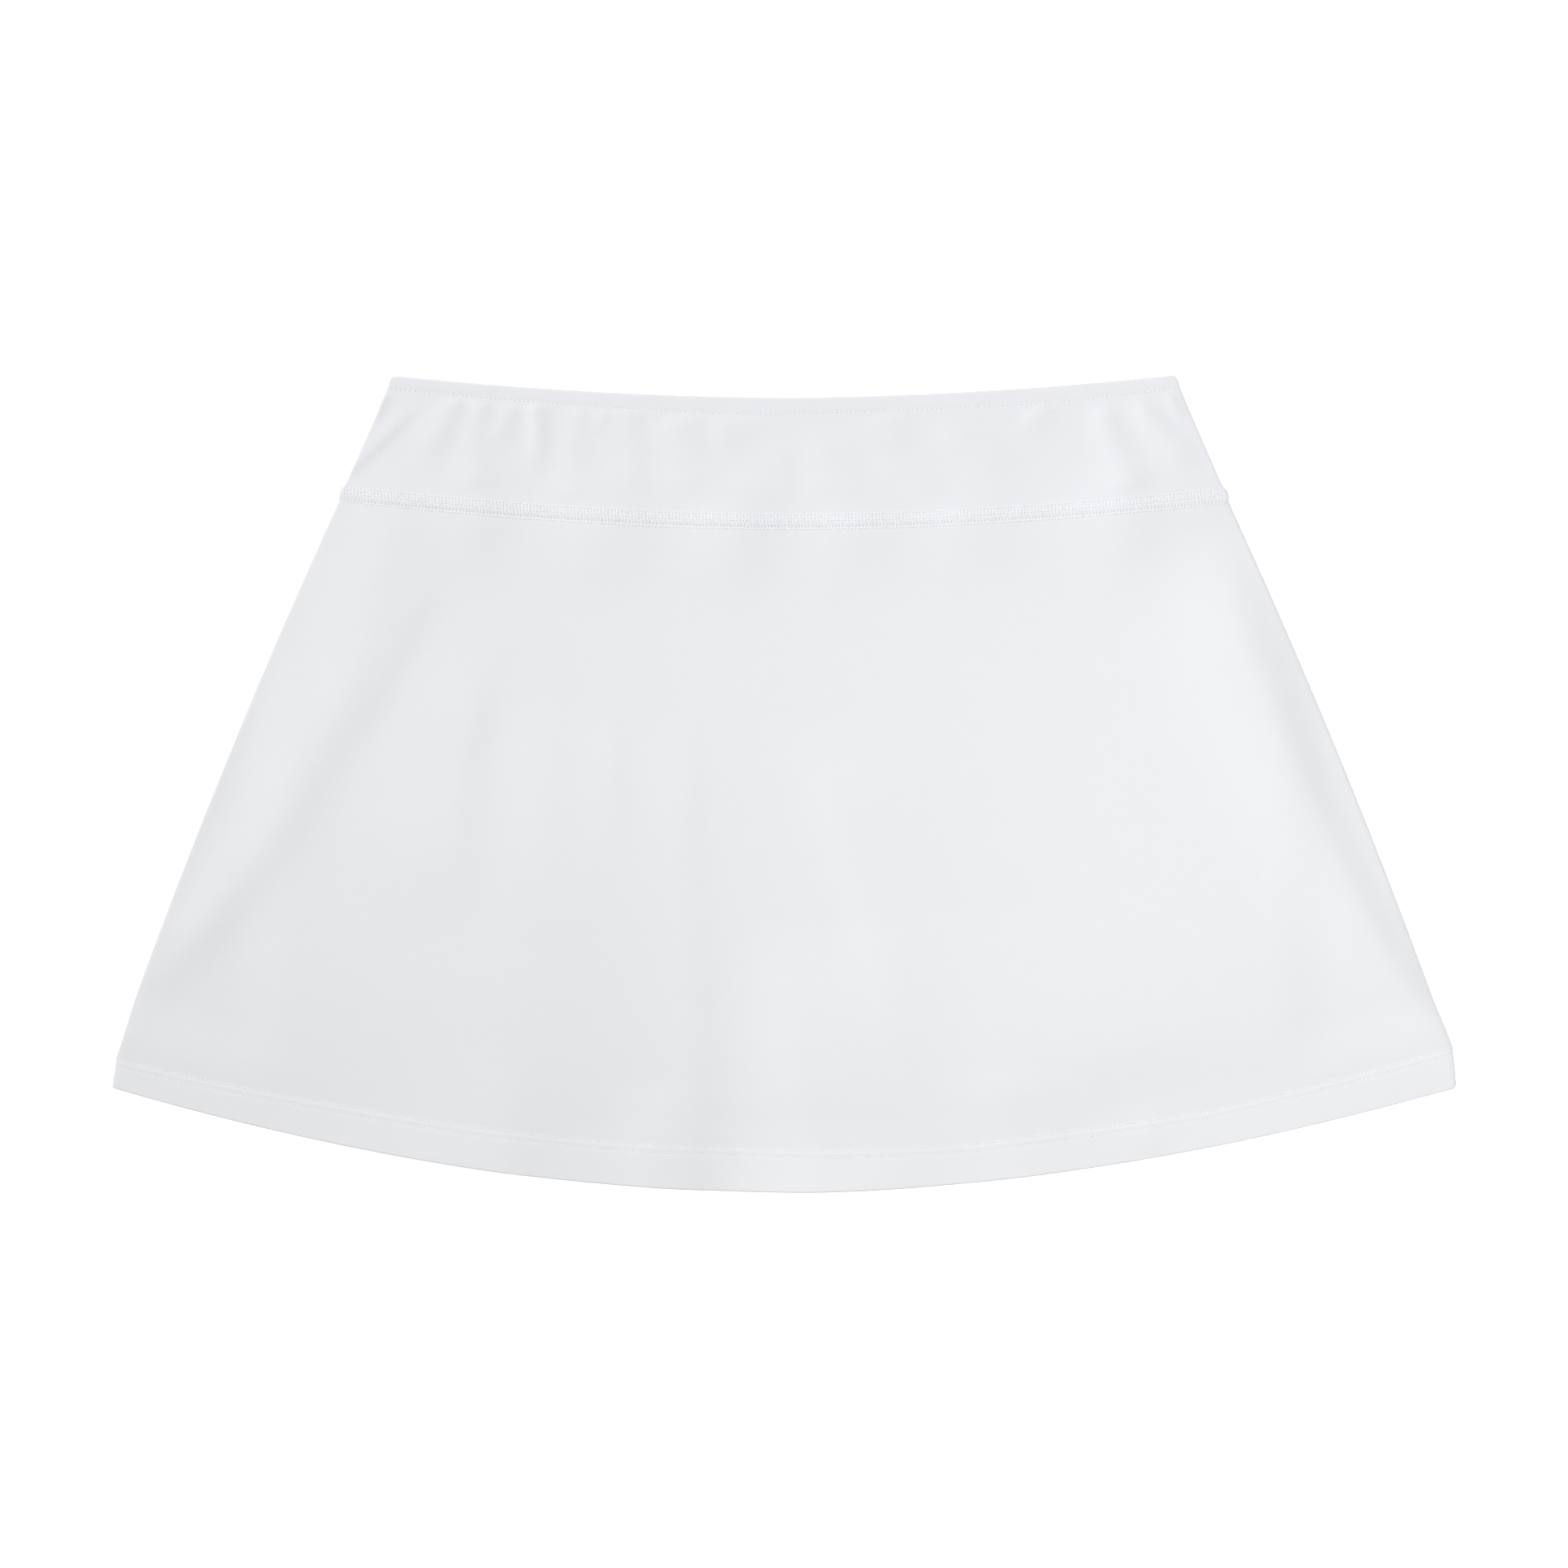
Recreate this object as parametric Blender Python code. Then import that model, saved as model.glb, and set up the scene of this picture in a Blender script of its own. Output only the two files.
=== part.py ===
"""A white sports skort laid flat on its back: a wide yoke with an elastic casing at the waist, an A-line
skirt with a turned-up hem, and inner shorts between the skirt's front and back.

Metres. X runs across the garment, Y from the hem to the waist, Z up from the surface that it lies on.
The origin is in the middle of the garment's outline, on that surface.
"""

import math

import bmesh
import bpy
import numpy as np


def table(columns, *rows):
    """A short table: each row becomes a dictionary by the names of its columns."""
    names = columns.split()
    return [dict(zip(names, row)) for row in rows]


# Cloth and seams
CLOTH = 0.0010  # wall of a single layer of knit
GAP = 0.0003  # between pieces where they meet
HEM_DEPTH = 0.0195  # the cloth turned up inside at the hem

# Waist edge: lowest at the centre front, rising towards both ends
WAIST_Y = 0.1714
WAIST_RISE = 0.0096
WAIST_REACH = 0.1717
WAIST_CURVE = 1.79
CORNER_START = 0.1712  # half width at which the top corners start to round off
CORNER_RADIUS = 0.0030

# Middle of the raised flat seam between yoke and skirt
SEAM_Y = 0.1161
SEAM_RISE = 0.0109
SEAM_REACH = 0.1854
SEAM_CURVE = 1.80
LIP_BELOW = 0.0022  # from there down to the lip, the yoke's lower edge
LIP_DROOP = 0.0009  # the lip hangs this much lower where it turns over at the sides
LIP_REACH = 0.1977
LIP_CURVE = 6

# Hem edge
HEM_Y = -0.1810
HEM_RISE = 0.0456
HEM_REACH = 0.2952
HEM_CURVE = 1.87

# Half width of the garment at the yoke: a row for each bend of the side
YOKE_SIDE = table(
    "y half_width",
    (0.1802, 0.1739),  # rounded top corner
    (0.1791, 0.1748),
    (0.1775, 0.1754),
    (0.1748, 0.1760),  # the stitch row under the elastic
    (0.1331, 0.1943),
    (0.1316, 0.1952),  # the flat seam stands out a little
    (0.1298, 0.1970),
    (0.1275, 0.1977),
    (0.1252, 0.1977),
)

# Half width of the skirt: a shallow curve from the seam, then the stiffer end of the hem
SKIRT_SIDE_Y = 0.1172
SKIRT_SIDE_HALF = 0.2013
SKIRT_SIDE_RUN = 0.2304
SKIRT_FLARE = 0.1053
SKIRT_FLARE_LOSS = 0.0118
HEM_SIDE = table(
    "y half_width",
    (-0.1186, 0.2965),
    (-0.1330, 0.2982),
    (-0.1341, 0.2979),
    (-0.1345, 0.2974),
)

# The side edges roll over from the front to the back
YOKE_ROLL = 0.0050
SKIRT_ROLL = 0.0060
ROLL_ANGLES = (0, 22, 45, 68)  # degrees, from the edge inwards

# Section down the yoke, from the waist edge: the casing over the elastic, the plain part, the flat seam.
# Each row has the heights of the front panel's two faces and of the back panel's.
YOKE_SECTIONS = table(
    "from_edge front_top front_under back_top back_under",
    (0.0000, 0.0039, 0.0033, 0.0014, 0.0008),
    (0.0003, 0.0045, 0.0027, 0.0019, 0.0003),
    (0.0010, 0.0048, 0.0025, 0.0022, 0.0000),
    (0.0034, 0.0050, 0.0025, 0.0022, 0.0000),
    (0.0058, 0.0048, 0.0025, 0.0022, 0.0000),
    (0.0066, 0.0043, 0.0025, 0.0022, 0.0000),  # stitch row
    (0.0074, 0.0046, 0.0026, 0.0021, 0.0000),
    (0.0081, 0.0046, 0.0035, 0.0011, 0.0000),  # raw edge of the fold, inside
    (0.0135, 0.0047, 0.0036, 0.0011, 0.0000),
    (0.0200, 0.0048, 0.0037, 0.0011, 0.0000),
    (0.0280, 0.0048, 0.0037, 0.0011, 0.0000),
    (0.0360, 0.0048, 0.0037, 0.0011, 0.0000),
    (0.0440, 0.0048, 0.0037, 0.0011, 0.0000),
    (0.0512, 0.0048, 0.0037, 0.0011, 0.0000),
    (0.0522, 0.0056, 0.0037, 0.0018, 0.0000),  # flat seam
    (0.0548, 0.0058, 0.0037, 0.0018, 0.0000),
    (0.0569, 0.0057, 0.0037, 0.0018, 0.0000),
    (0.0575, 0.0052, 0.0040, 0.0018, 0.0000),
)
# The puckers start under the casing and fade out above the flat seam
PUCKER_START = 0.0057
PUCKER_RISE = 0.0060
PUCKER_END = 0.0522
PUCKER_FADE = 0.0120

# Section of the hem, from where its fold ends down to its edge: sink is how far the outside lies below
# the skirt's own surface
HEM_SECTIONS = table(
    "above_edge sink wall back_top back_under",
    (0.0195, 0.0000, 0.0010, 0.0010, 0.0000),
    (0.0191, 0.0000, 0.0022, 0.0022, 0.0000),  # raw edge of the fold, inside
    (0.0145, 0.0000, 0.0022, 0.0022, 0.0000),
    (0.0070, 0.0000, 0.0022, 0.0022, 0.0000),
    (0.0010, 0.0000, 0.0022, 0.0022, 0.0000),
    (0.0003, 0.0004, 0.0014, 0.0018, 0.0004),  # folded edge
    (0.0000, 0.0008, 0.0006, 0.0014, 0.0008),
)
SKIRT_ROWS = 21  # rows from the seam to the hem's fold
SKIRT_COLUMNS = 58
YOKE_COLUMNS = 84
BACK_COLUMNS = 18

# Height of the skirt's front, over four layers in the middle and at the hem and over two at the sides
STACK_FULL = 0.0049
STACK_SIDE = 0.0036
STACK_EASE = 0.0280  # how far the cloth takes to come down beside a thicker stack
STACK_MARGIN = 0.0050  # and how far outside the shorts it starts to
SWELL = 0.0012  # air under the loose cloth
SEAM_EASE = 0.0420  # how far below the seam the folds reach their full height
LEAST_FOLD = 0.0003

# Folds of the skirt's front: a path through three points, running down, its width to the left and to the
# right as the front is seen, its height (a hollow is below zero), and how much of the path it takes to
# rise and to fade
SKIRT_FOLDS = table(
    "x0 y0 x1 y1 x2 y2 left right height rise fade",
    # rolls beside the two side edges
    (-0.167, 0.092, -0.225, -0.002, -0.291, -0.100, 0.030, 0.0150, 0.0027, 0.35, 0.25),
    (0.194, 0.099, 0.230, 0.013, 0.287, -0.104, 0.022, 0.0135, 0.0026, 0.30, 0.25),
    # broad slopes: the front hangs lowest a little left of its middle
    (-0.200, -0.015, -0.229, -0.077, -0.240, -0.150, 0.026, 0.1100, 0.0014, 0.45, 0.20),
    (0.150, 0.085, 0.180, 0.005, 0.214, -0.085, 0.095, 0.0300, 0.0013, 0.35, 0.30),
    # folds that run down to the hem
    (-0.131, 0.060, -0.142, 0.022, -0.150, -0.020, 0.022, 0.0090, 0.0009, 0.50, 0.50),
    (-0.124, -0.066, -0.123, -0.120, -0.122, -0.175, 0.020, 0.0200, 0.0010, 0.50, 0.10),
    (-0.072, 0.013, -0.060, -0.066, -0.054, -0.178, 0.018, 0.0180, 0.0011, 0.50, 0.10),
    (-0.015, -0.012, -0.015, -0.084, -0.013, -0.179, 0.016, 0.0140, -0.0013, 0.40, 0.10),
    (0.007, 0.024, 0.031, -0.041, 0.048, -0.110, 0.010, 0.0220, 0.0010, 0.40, 0.40),
    # a long shoulder above the hem at the right, its path running from right to left
    (0.214, -0.077, 0.139, -0.110, 0.077, -0.117, 0.045, 0.0190, 0.0008, 0.40, 0.40),
)

# Puckers that the elastic draws in the yoke's front, from the casing down
YOKE_FOLDS = table(
    "x0 y0 x1 y1 x2 y2 left right height rise fade",
    (-0.1755, 0.173, -0.1795, 0.163, -0.1845, 0.153, 0.0030, 0.0030, 0.0010, 0.15, 0.60),
    (-0.1650, 0.171, -0.1730, 0.158, -0.1900, 0.139, 0.0048, 0.0032, 0.0017, 0.15, 0.15),
    (-0.1458, 0.172, -0.1520, 0.158, -0.1600, 0.142, 0.0070, 0.0036, 0.0016, 0.15, 0.50),
    (-0.1334, 0.170, -0.1355, 0.160, -0.1390, 0.148, 0.0034, 0.0032, 0.0011, 0.15, 0.60),
    (-0.1215, 0.168, -0.1265, 0.155, -0.1310, 0.136, 0.0050, 0.0040, 0.0015, 0.20, 0.50),
    (-0.1114, 0.168, -0.1109, 0.157, -0.1110, 0.143, 0.0026, 0.0036, 0.0016, 0.15, 0.55),
    (-0.0916, 0.167, -0.0928, 0.157, -0.0935, 0.143, 0.0040, 0.0038, 0.0009, 0.15, 0.60),
    (-0.0775, 0.165, -0.0785, 0.158, -0.0795, 0.150, 0.0032, 0.0032, 0.0006, 0.20, 0.60),
    (-0.0682, 0.164, -0.0678, 0.150, -0.0670, 0.128, 0.0045, 0.0050, 0.0010, 0.20, 0.60),
    (-0.0470, 0.161, -0.0440, 0.148, -0.0410, 0.130, 0.0080, 0.0080, 0.0008, 0.25, 0.60),
    (0.0470, 0.164, 0.0620, 0.152, 0.0850, 0.140, 0.0100, 0.0090, 0.0008, 0.25, 0.60),
    (0.1418, 0.172, 0.1470, 0.154, 0.1620, 0.127, 0.0085, 0.0050, 0.0018, 0.12, 0.25),
    (0.1594, 0.170, 0.1640, 0.157, 0.1760, 0.141, 0.0055, 0.0040, 0.0013, 0.15, 0.50),
    (0.1722, 0.173, 0.1755, 0.166, 0.1790, 0.158, 0.0035, 0.0030, 0.0009, 0.20, 0.60),
)
FOLD_SAMPLES = 33

# Inner shorts, hidden between the skirt's layers, plain: the right half of their outline, from the top
# round the leg to the crotch. Their top edge follows the skirt's.
SHORTS_TOP_HALF = 0.1880
SHORTS_TOP_STEPS = 14
SHORTS_OUTLINE = table(
    "x y",
    (0.1960, 0.0900),
    (0.2040, 0.0400),
    (0.2090, -0.0200),
    (0.2110, -0.0700),
    (0.2100, -0.1220),
    (0.0090, -0.1340),
    (0.0050, -0.0820),
    (0.0000, -0.0680),
)
SHORTS_BACK_Z = 0.0013
SHORTS_FRONT_Z = 0.0026

KNIT_WHITE = (0.80, 0.80, 0.82, 1.0)
YOKE_WHITE = (0.79, 0.79, 0.82, 1.0)
SHORTS_WHITE = (0.78, 0.78, 0.80, 1.0)
KNIT_ROUGHNESS = 0.85
SHARP_ANGLE = 50  # degrees; sharper edges are not shaded smooth


def clear_scene():
    for item in list(bpy.data.objects):
        bpy.data.objects.remove(item, do_unlink=True)


def smooth(value):
    """0 below 0 and 1 above 1, with an S curve between them."""
    t = np.clip(value, 0.0, 1.0)
    return t * t * (3.0 - 2.0 * t)


def waist_edge(x):
    far = np.abs(x)
    corner = np.clip(far - CORNER_START, 0.0, None) ** 2 / (2 * CORNER_RADIUS)
    return WAIST_Y + WAIST_RISE * (far / WAIST_REACH) ** WAIST_CURVE - corner


def seam_line(x):
    return SEAM_Y + SEAM_RISE * (np.abs(x) / SEAM_REACH) ** SEAM_CURVE


def yoke_bottom(x):
    return seam_line(x) - LIP_BELOW - LIP_DROOP * (np.abs(x) / LIP_REACH) ** LIP_CURVE


def skirt_top(x):
    return yoke_bottom(x) - GAP


def hem_edge(x):
    return HEM_Y + HEM_RISE * (np.abs(x) / HEM_REACH) ** HEM_CURVE


def half_width_from(rows, y):
    rising = rows[::-1]
    return np.interp(y, [row["y"] for row in rising], [row["half_width"] for row in rising])


def yoke_half_width(y):
    return half_width_from(YOKE_SIDE, y)


def skirt_half_width(y):
    down = (SKIRT_SIDE_Y - y) / SKIRT_SIDE_RUN
    curve = SKIRT_SIDE_HALF + SKIRT_FLARE * down - SKIRT_FLARE_LOSS * down**2
    return np.where(y > HEM_SIDE[0]["y"], curve, half_width_from(HEM_SIDE, y))


def fold_path(fold):
    """Points along a fold: the parabola through its three named points."""
    t = np.linspace(0.0, 1.0, FOLD_SAMPLES)
    first, middle, last = (1 - t) * (1 - 2 * t), 4 * t * (1 - t), t * (2 * t - 1)
    path_x = first * fold["x0"] + middle * fold["x1"] + last * fold["x2"]
    path_y = first * fold["y0"] + middle * fold["y1"] + last * fold["y2"]
    return t, path_x, path_y


def fold_height(x, y, folds):
    """Height of all these folds together at the points x, y."""
    total = np.zeros_like(x)
    for fold in folds:
        t, path_x, path_y = fold_path(fold)
        away_x = x[..., None] - path_x
        away_y = y[..., None] - path_y
        nearest = np.argmin(away_x**2 + away_y**2, axis=-1)
        run_x, run_y = np.gradient(path_x), np.gradient(path_y)
        away_x = np.take_along_axis(away_x, nearest[..., None], -1)[..., 0]
        away_y = np.take_along_axis(away_y, nearest[..., None], -1)[..., 0]
        on_right = away_y * run_x[nearest] - away_x * run_y[nearest] > 0
        width = np.where(on_right, fold["right"], fold["left"])
        along = t[nearest]
        strength = smooth(along / fold["rise"]) * smooth((1 - along) / fold["fade"])
        bell = np.exp(-(away_x**2 + away_y**2) / width**2)
        total += fold["height"] * strength * bell
    return total


def not_below_zero(height):
    """Rounds off what would dip below zero, so that a hollow never presses into the layer beneath."""
    return (height + np.sqrt(height**2 + 4 * LEAST_FOLD**2)) / 2 - LEAST_FOLD


def stack_height(x, y):
    """Height of the skirt's front as it lies on the layers beneath it."""
    half = max(point["x"] for point in SHORTS_OUTLINE) + STACK_MARGIN
    end = min(point["y"] for point in SHORTS_OUTLINE) - STACK_MARGIN
    over_shorts = smooth((half + STACK_EASE - np.abs(x)) / STACK_EASE)
    over_shorts *= smooth((y - end + STACK_EASE) / STACK_EASE)
    over_hem = smooth((hem_edge(x) + HEM_DEPTH + STACK_EASE - y) / STACK_EASE)
    full = 1 - (1 - over_shorts) * (1 - over_hem)
    return STACK_SIDE + (STACK_FULL - STACK_SIDE) * full


def skirt_surface(x, y):
    """Height of the skirt's front with its folds."""
    from_seam = smooth((skirt_top(x) - y) / SEAM_EASE)
    lift = SWELL * from_seam + fold_height(x, y, SKIRT_FOLDS) * from_seam
    return stack_height(x, y) + not_below_zero(lift)


def columns_across(count):
    """Places across a panel: a fraction of its flat width and the angle round the rolled edge."""
    flat = [(fraction, 90) for fraction in np.linspace(-1.0, 1.0, count)]
    left = [(-1.0, angle) for angle in ROLL_ANGLES]
    right = [(1.0, angle) for angle in reversed(ROLL_ANGLES)]
    return left + flat + right


def x_across(half, roll, wall, columns):
    """x of a row's points, on a surface that lies a wall's thickness inside the rolled edge."""
    reach = half - wall
    bend = roll - wall
    return np.array([f * (reach - bend * (1 - math.cos(math.radians(a)))) for f, a in columns])


def row_y(x, down, half, edges):
    """y along a row, blended between the panel's top edge and its bottom edge."""
    share = x / half
    top = edges["top"](share * edges["top_half"])
    bottom = edges["bottom"](share * edges["bottom_half"])
    return (1 - down) * top + down * bottom


def closed_sheet(name, upper, lower, colour):
    """A solid between two grids of points, upper and lower, with the same rows and columns."""
    mesh = bpy.data.meshes.new(name)
    bm = bmesh.new()
    top = [[bm.verts.new(point) for point in row] for row in upper]
    low = [[bm.verts.new(point) for point in row] for row in lower]
    rows, columns = len(top), len(top[0])
    for i in range(rows - 1):
        for j in range(columns - 1):
            bm.faces.new((top[i][j], top[i + 1][j], top[i + 1][j + 1], top[i][j + 1]))
            bm.faces.new((low[i][j], low[i][j + 1], low[i + 1][j + 1], low[i + 1][j]))
    for i in range(rows - 1):
        bm.faces.new((top[i][0], low[i][0], low[i + 1][0], top[i + 1][0]))
        bm.faces.new((top[i][-1], top[i + 1][-1], low[i + 1][-1], low[i][-1]))
    for j in range(columns - 1):
        bm.faces.new((top[0][j], top[0][j + 1], low[0][j + 1], low[0][j]))
        bm.faces.new((top[-1][j], low[-1][j], low[-1][j + 1], top[-1][j + 1]))
    bmesh.ops.recalc_face_normals(bm, faces=bm.faces)
    bm.to_mesh(mesh)
    bm.free()
    return add_piece(name, mesh, colour)


def add_piece(name, mesh, colour):
    piece = bpy.data.objects.new(name, mesh)
    bpy.context.scene.collection.objects.link(piece)
    mesh.shade_smooth()
    mesh.set_sharp_from_angle(angle=math.radians(SHARP_ANGLE))
    material = bpy.data.materials.new(name)
    material.use_nodes = True
    shader = material.node_tree.nodes["Principled BSDF"]
    shader.inputs["Base Color"].default_value = colour
    shader.inputs["Roughness"].default_value = KNIT_ROUGHNESS
    shader.inputs["Metallic"].default_value = 0.0
    mesh.materials.append(material)
    return piece


def front_row(down, half, roll, surface, wall, join, edges, columns):
    """One row of a front panel, rolled down at its sides to where it joins the back."""
    up = np.array([math.sin(math.radians(angle)) for _, angle in columns])
    outer_x = x_across(half, roll, 0.0, columns)
    inner_x = x_across(half, roll, wall, columns)
    outer_y = row_y(outer_x, down, half, edges)
    inner_y = row_y(inner_x, down, half, edges)
    outer_z = join + (surface(outer_x, outer_y) - join) * up
    inner_z = join + (surface(inner_x, inner_y) - wall - join) * up
    return np.stack([outer_x, outer_y, outer_z], 1), np.stack([inner_x, inner_y, inner_z], 1)


def back_row(down, half, roll, top, under, edges, columns):
    """One row of a back panel, flat beneath, with the lower corner of its side edges taken off."""
    x = x_across(half, roll, 0.0, columns)
    y = row_y(x, down, half, edges)
    low = np.full_like(x, under)
    low[[0, -1]] = (top + under) / 2
    return np.stack([x, y, np.full_like(x, top)], 1), np.stack([x, y, low], 1)


def make_panels(name, rows, edges, roll, front_columns, colour):
    """The front and the back of one part of the garment.

    Each row gives how far down it lies, the outer surface of the front as a function of x and y, the
    front's wall, and the top and underside of the back.
    """
    top_y = float(edges["top"](edges["top_half"]))
    bottom_y = float(edges["bottom"](edges["bottom_half"]))
    front, back = [], []
    for down, surface, wall, back_top, back_under in rows:
        half = float(edges["half_width"]((1 - down) * top_y + down * bottom_y))
        join = back_top + GAP
        columns = columns_across(front_columns)
        front.append(front_row(down, half, roll, surface, wall, join, edges, columns))
        columns = columns_across(BACK_COLUMNS)
        back.append(back_row(down, half, roll, back_top, back_under, edges, columns))
    for side, panel in (("front", front), ("back", back)):
        closed_sheet(f"{name}_{side}", [row[0] for row in panel], [row[1] for row in panel], colour)


def yoke_row(section):
    from_edge = section["from_edge"]
    puckered = smooth((from_edge - PUCKER_START) / PUCKER_RISE)
    puckered *= smooth((PUCKER_END - from_edge) / PUCKER_FADE)

    def surface(x, y):
        return section["front_top"] + puckered * not_below_zero(fold_height(x, y, YOKE_FOLDS))

    down = from_edge / YOKE_SECTIONS[-1]["from_edge"]
    wall = section["front_top"] - section["front_under"]
    return down, surface, wall, section["back_top"], section["back_under"]


def make_yoke():
    edges = {
        "top": waist_edge,
        "bottom": yoke_bottom,
        "half_width": yoke_half_width,
        "top_half": YOKE_SIDE[0]["half_width"],
        "bottom_half": YOKE_SIDE[-1]["half_width"],
    }
    rows = [yoke_row(section) for section in YOKE_SECTIONS]
    make_panels("yoke", rows, edges, YOKE_ROLL, YOKE_COLUMNS, YOKE_WHITE)


def skirt_row(down, section):
    def surface(x, y):
        return skirt_surface(x, y) - section["sink"]

    return down, surface, section["wall"], section["back_top"], section["back_under"]


def make_skirt():
    edges = {
        "top": skirt_top,
        "bottom": hem_edge,
        "half_width": skirt_half_width,
        "top_half": YOKE_SIDE[-1]["half_width"],
        "bottom_half": HEM_SIDE[-1]["half_width"],
    }
    length = float(skirt_top(0.0) - HEM_Y)
    single = np.linspace(0.0, 1 - HEM_DEPTH / length, SKIRT_ROWS)[:-1]
    rows = [skirt_row(down, HEM_SECTIONS[0]) for down in single]
    rows += [skirt_row(1 - section["above_edge"] / length, section) for section in HEM_SECTIONS]
    make_panels("skirt", rows, edges, SKIRT_ROLL, SKIRT_COLUMNS, KNIT_WHITE)


def make_shorts(name, level):
    """One half of the inner shorts: a flat outline with two legs, one layer thick."""
    top_x = np.linspace(-SHORTS_TOP_HALF, SHORTS_TOP_HALF, SHORTS_TOP_STEPS)
    outline = [(x, float(skirt_top(x)) - GAP) for x in top_x]
    outline += [(point["x"], point["y"]) for point in SHORTS_OUTLINE]
    outline += [(-point["x"], point["y"]) for point in reversed(SHORTS_OUTLINE[:-1])]
    mesh = bpy.data.meshes.new(name)
    bm = bmesh.new()
    face = bm.faces.new([bm.verts.new((x, y, level)) for x, y in outline])
    raised = bmesh.ops.extrude_face_region(bm, geom=[face])["geom"]
    moved = [item for item in raised if isinstance(item, bmesh.types.BMVert)]
    bmesh.ops.translate(bm, verts=moved, vec=(0.0, 0.0, CLOTH))
    bmesh.ops.recalc_face_normals(bm, faces=bm.faces)
    bm.to_mesh(mesh)
    bm.free()
    return add_piece(name, mesh, SHORTS_WHITE)


def main():
    clear_scene()
    make_yoke()
    make_skirt()
    make_shorts("shorts_back", SHORTS_BACK_Z)
    make_shorts("shorts_front", SHORTS_FRONT_Z)
    skort = bpy.data.objects.new("skort", None)
    bpy.context.scene.collection.objects.link(skort)
    for piece in list(bpy.context.scene.collection.objects):
        if piece.type == "MESH":
            piece.parent = skort


main()
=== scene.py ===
import math

import bmesh
import bpy
import numpy as np
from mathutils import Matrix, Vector


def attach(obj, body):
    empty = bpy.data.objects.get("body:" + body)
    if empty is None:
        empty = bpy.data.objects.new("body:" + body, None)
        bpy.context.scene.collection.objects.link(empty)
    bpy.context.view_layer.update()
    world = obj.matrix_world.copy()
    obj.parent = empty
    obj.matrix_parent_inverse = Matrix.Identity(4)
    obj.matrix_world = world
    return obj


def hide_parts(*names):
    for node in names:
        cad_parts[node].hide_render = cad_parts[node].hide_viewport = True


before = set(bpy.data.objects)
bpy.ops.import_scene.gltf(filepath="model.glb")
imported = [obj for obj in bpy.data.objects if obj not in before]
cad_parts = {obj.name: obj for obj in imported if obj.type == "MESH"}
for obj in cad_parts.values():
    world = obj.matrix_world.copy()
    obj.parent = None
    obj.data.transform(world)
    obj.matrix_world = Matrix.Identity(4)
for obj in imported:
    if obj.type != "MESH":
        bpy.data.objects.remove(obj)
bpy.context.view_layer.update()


def table(columns, *rows):
    """A short table: each row becomes a dictionary by the names of its columns."""
    names = columns.split()
    return [dict(zip(names, row)) for row in rows]


# Sizes, in metres. X runs across the garment, Y from the hem to the waist, Z up from the floor.
CLOTH = 0.0009  # thickness of one layer of jersey
GAP = 0.0003  # between the yoke's front and back at the side edges
SKIRT_GAP = 0.0004  # the same for the skirt, where its back lies flat

# Waist edge: lowest at the middle, and rounded at its corners
WAIST_Y, WAIST_RISE, WAIST_REACH, WAIST_CURVE = 0.1714, 0.0096, 0.1717, 1.79
CORNER_START, CORNER_RADIUS = 0.1712, 0.0030
# Middle of the flat seam between yoke and skirt, a little higher at the left
SEAM_Y, SEAM_RISE, SEAM_REACH, SEAM_CURVE = 0.1161, 0.0109, 0.1854, 1.80
SEAM_TILT = 0.0026
# The lip, which is the yoke's lower edge, lies this far below that line and droops at its ends
LIP_BELOW, LIP_DROOP, LIP_REACH, LIP_CURVE = 0.0022, 0.0009, 0.1977, 6
LAP = 0.0014  # how far the skirt's edge runs in under the lip
# Hem edge: lowest at the middle
HEM_Y, HEM_RISE, HEM_REACH, HEM_CURVE = -0.1810, 0.0456, 0.2952, 1.87

# Half width of the yoke: a row for each bend of its side
YOKE_SIDE = table(
    "y half_width",
    (0.1802, 0.1739),
    (0.1791, 0.1748),
    (0.1775, 0.1754),
    (0.1748, 0.1760),
    (0.1331, 0.1943),
    (0.1316, 0.1952),
    (0.1298, 0.1970),
    (0.1275, 0.1977),
    (0.1252, 0.1977),
)
# Half width of the skirt: a shallow curve from the seam, then the stiffer end of the hem
SKIRT_SIDE_Y, SKIRT_SIDE_HALF, SKIRT_SIDE_RUN = 0.1172, 0.2013, 0.2304
SKIRT_FLARE, SKIRT_FLARE_LOSS = 0.1053, 0.0118
HEM_SIDE = table(
    "y half_width",
    (-0.1186, 0.2965),
    (-0.1330, 0.2982),
    (-0.1341, 0.2979),
    (-0.1345, 0.2974),
)
YOKE_LENGTH = 0.0575  # from the waist edge to the lip, at the middle
YOKE_ROLL, SKIRT_ROLL = 0.0011, 0.0014  # radius of the rolled side edges
ROLL_STEPS = 11
SIDE_ROUND = 0.0008  # within which the back's side edges round off

# Section down the front yoke: height of its outside and of its inside
YOKE_FRONT = table(
    "from_edge top under",
    (0.0000, 0.0047, 0.0026),
    (0.0012, 0.0049, 0.0025),
    (0.0034, 0.0049, 0.0025),
    (0.0056, 0.00485, 0.0025),
    (0.0066, 0.0047, 0.0025),
    (0.0074, 0.0047, 0.0026),
    (0.0081, 0.0047, 0.0036),
    (0.0135, 0.0047, 0.0038),
    (0.0514, 0.0048, 0.0038),
    (0.0523, 0.00488, 0.0038),
    (0.0545, 0.0050, 0.0040),
    (0.0560, 0.0051, 0.0041),
    (0.0566, 0.0050, 0.0043),
    (0.0575, 0.0049, 0.0045),
)
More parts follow.
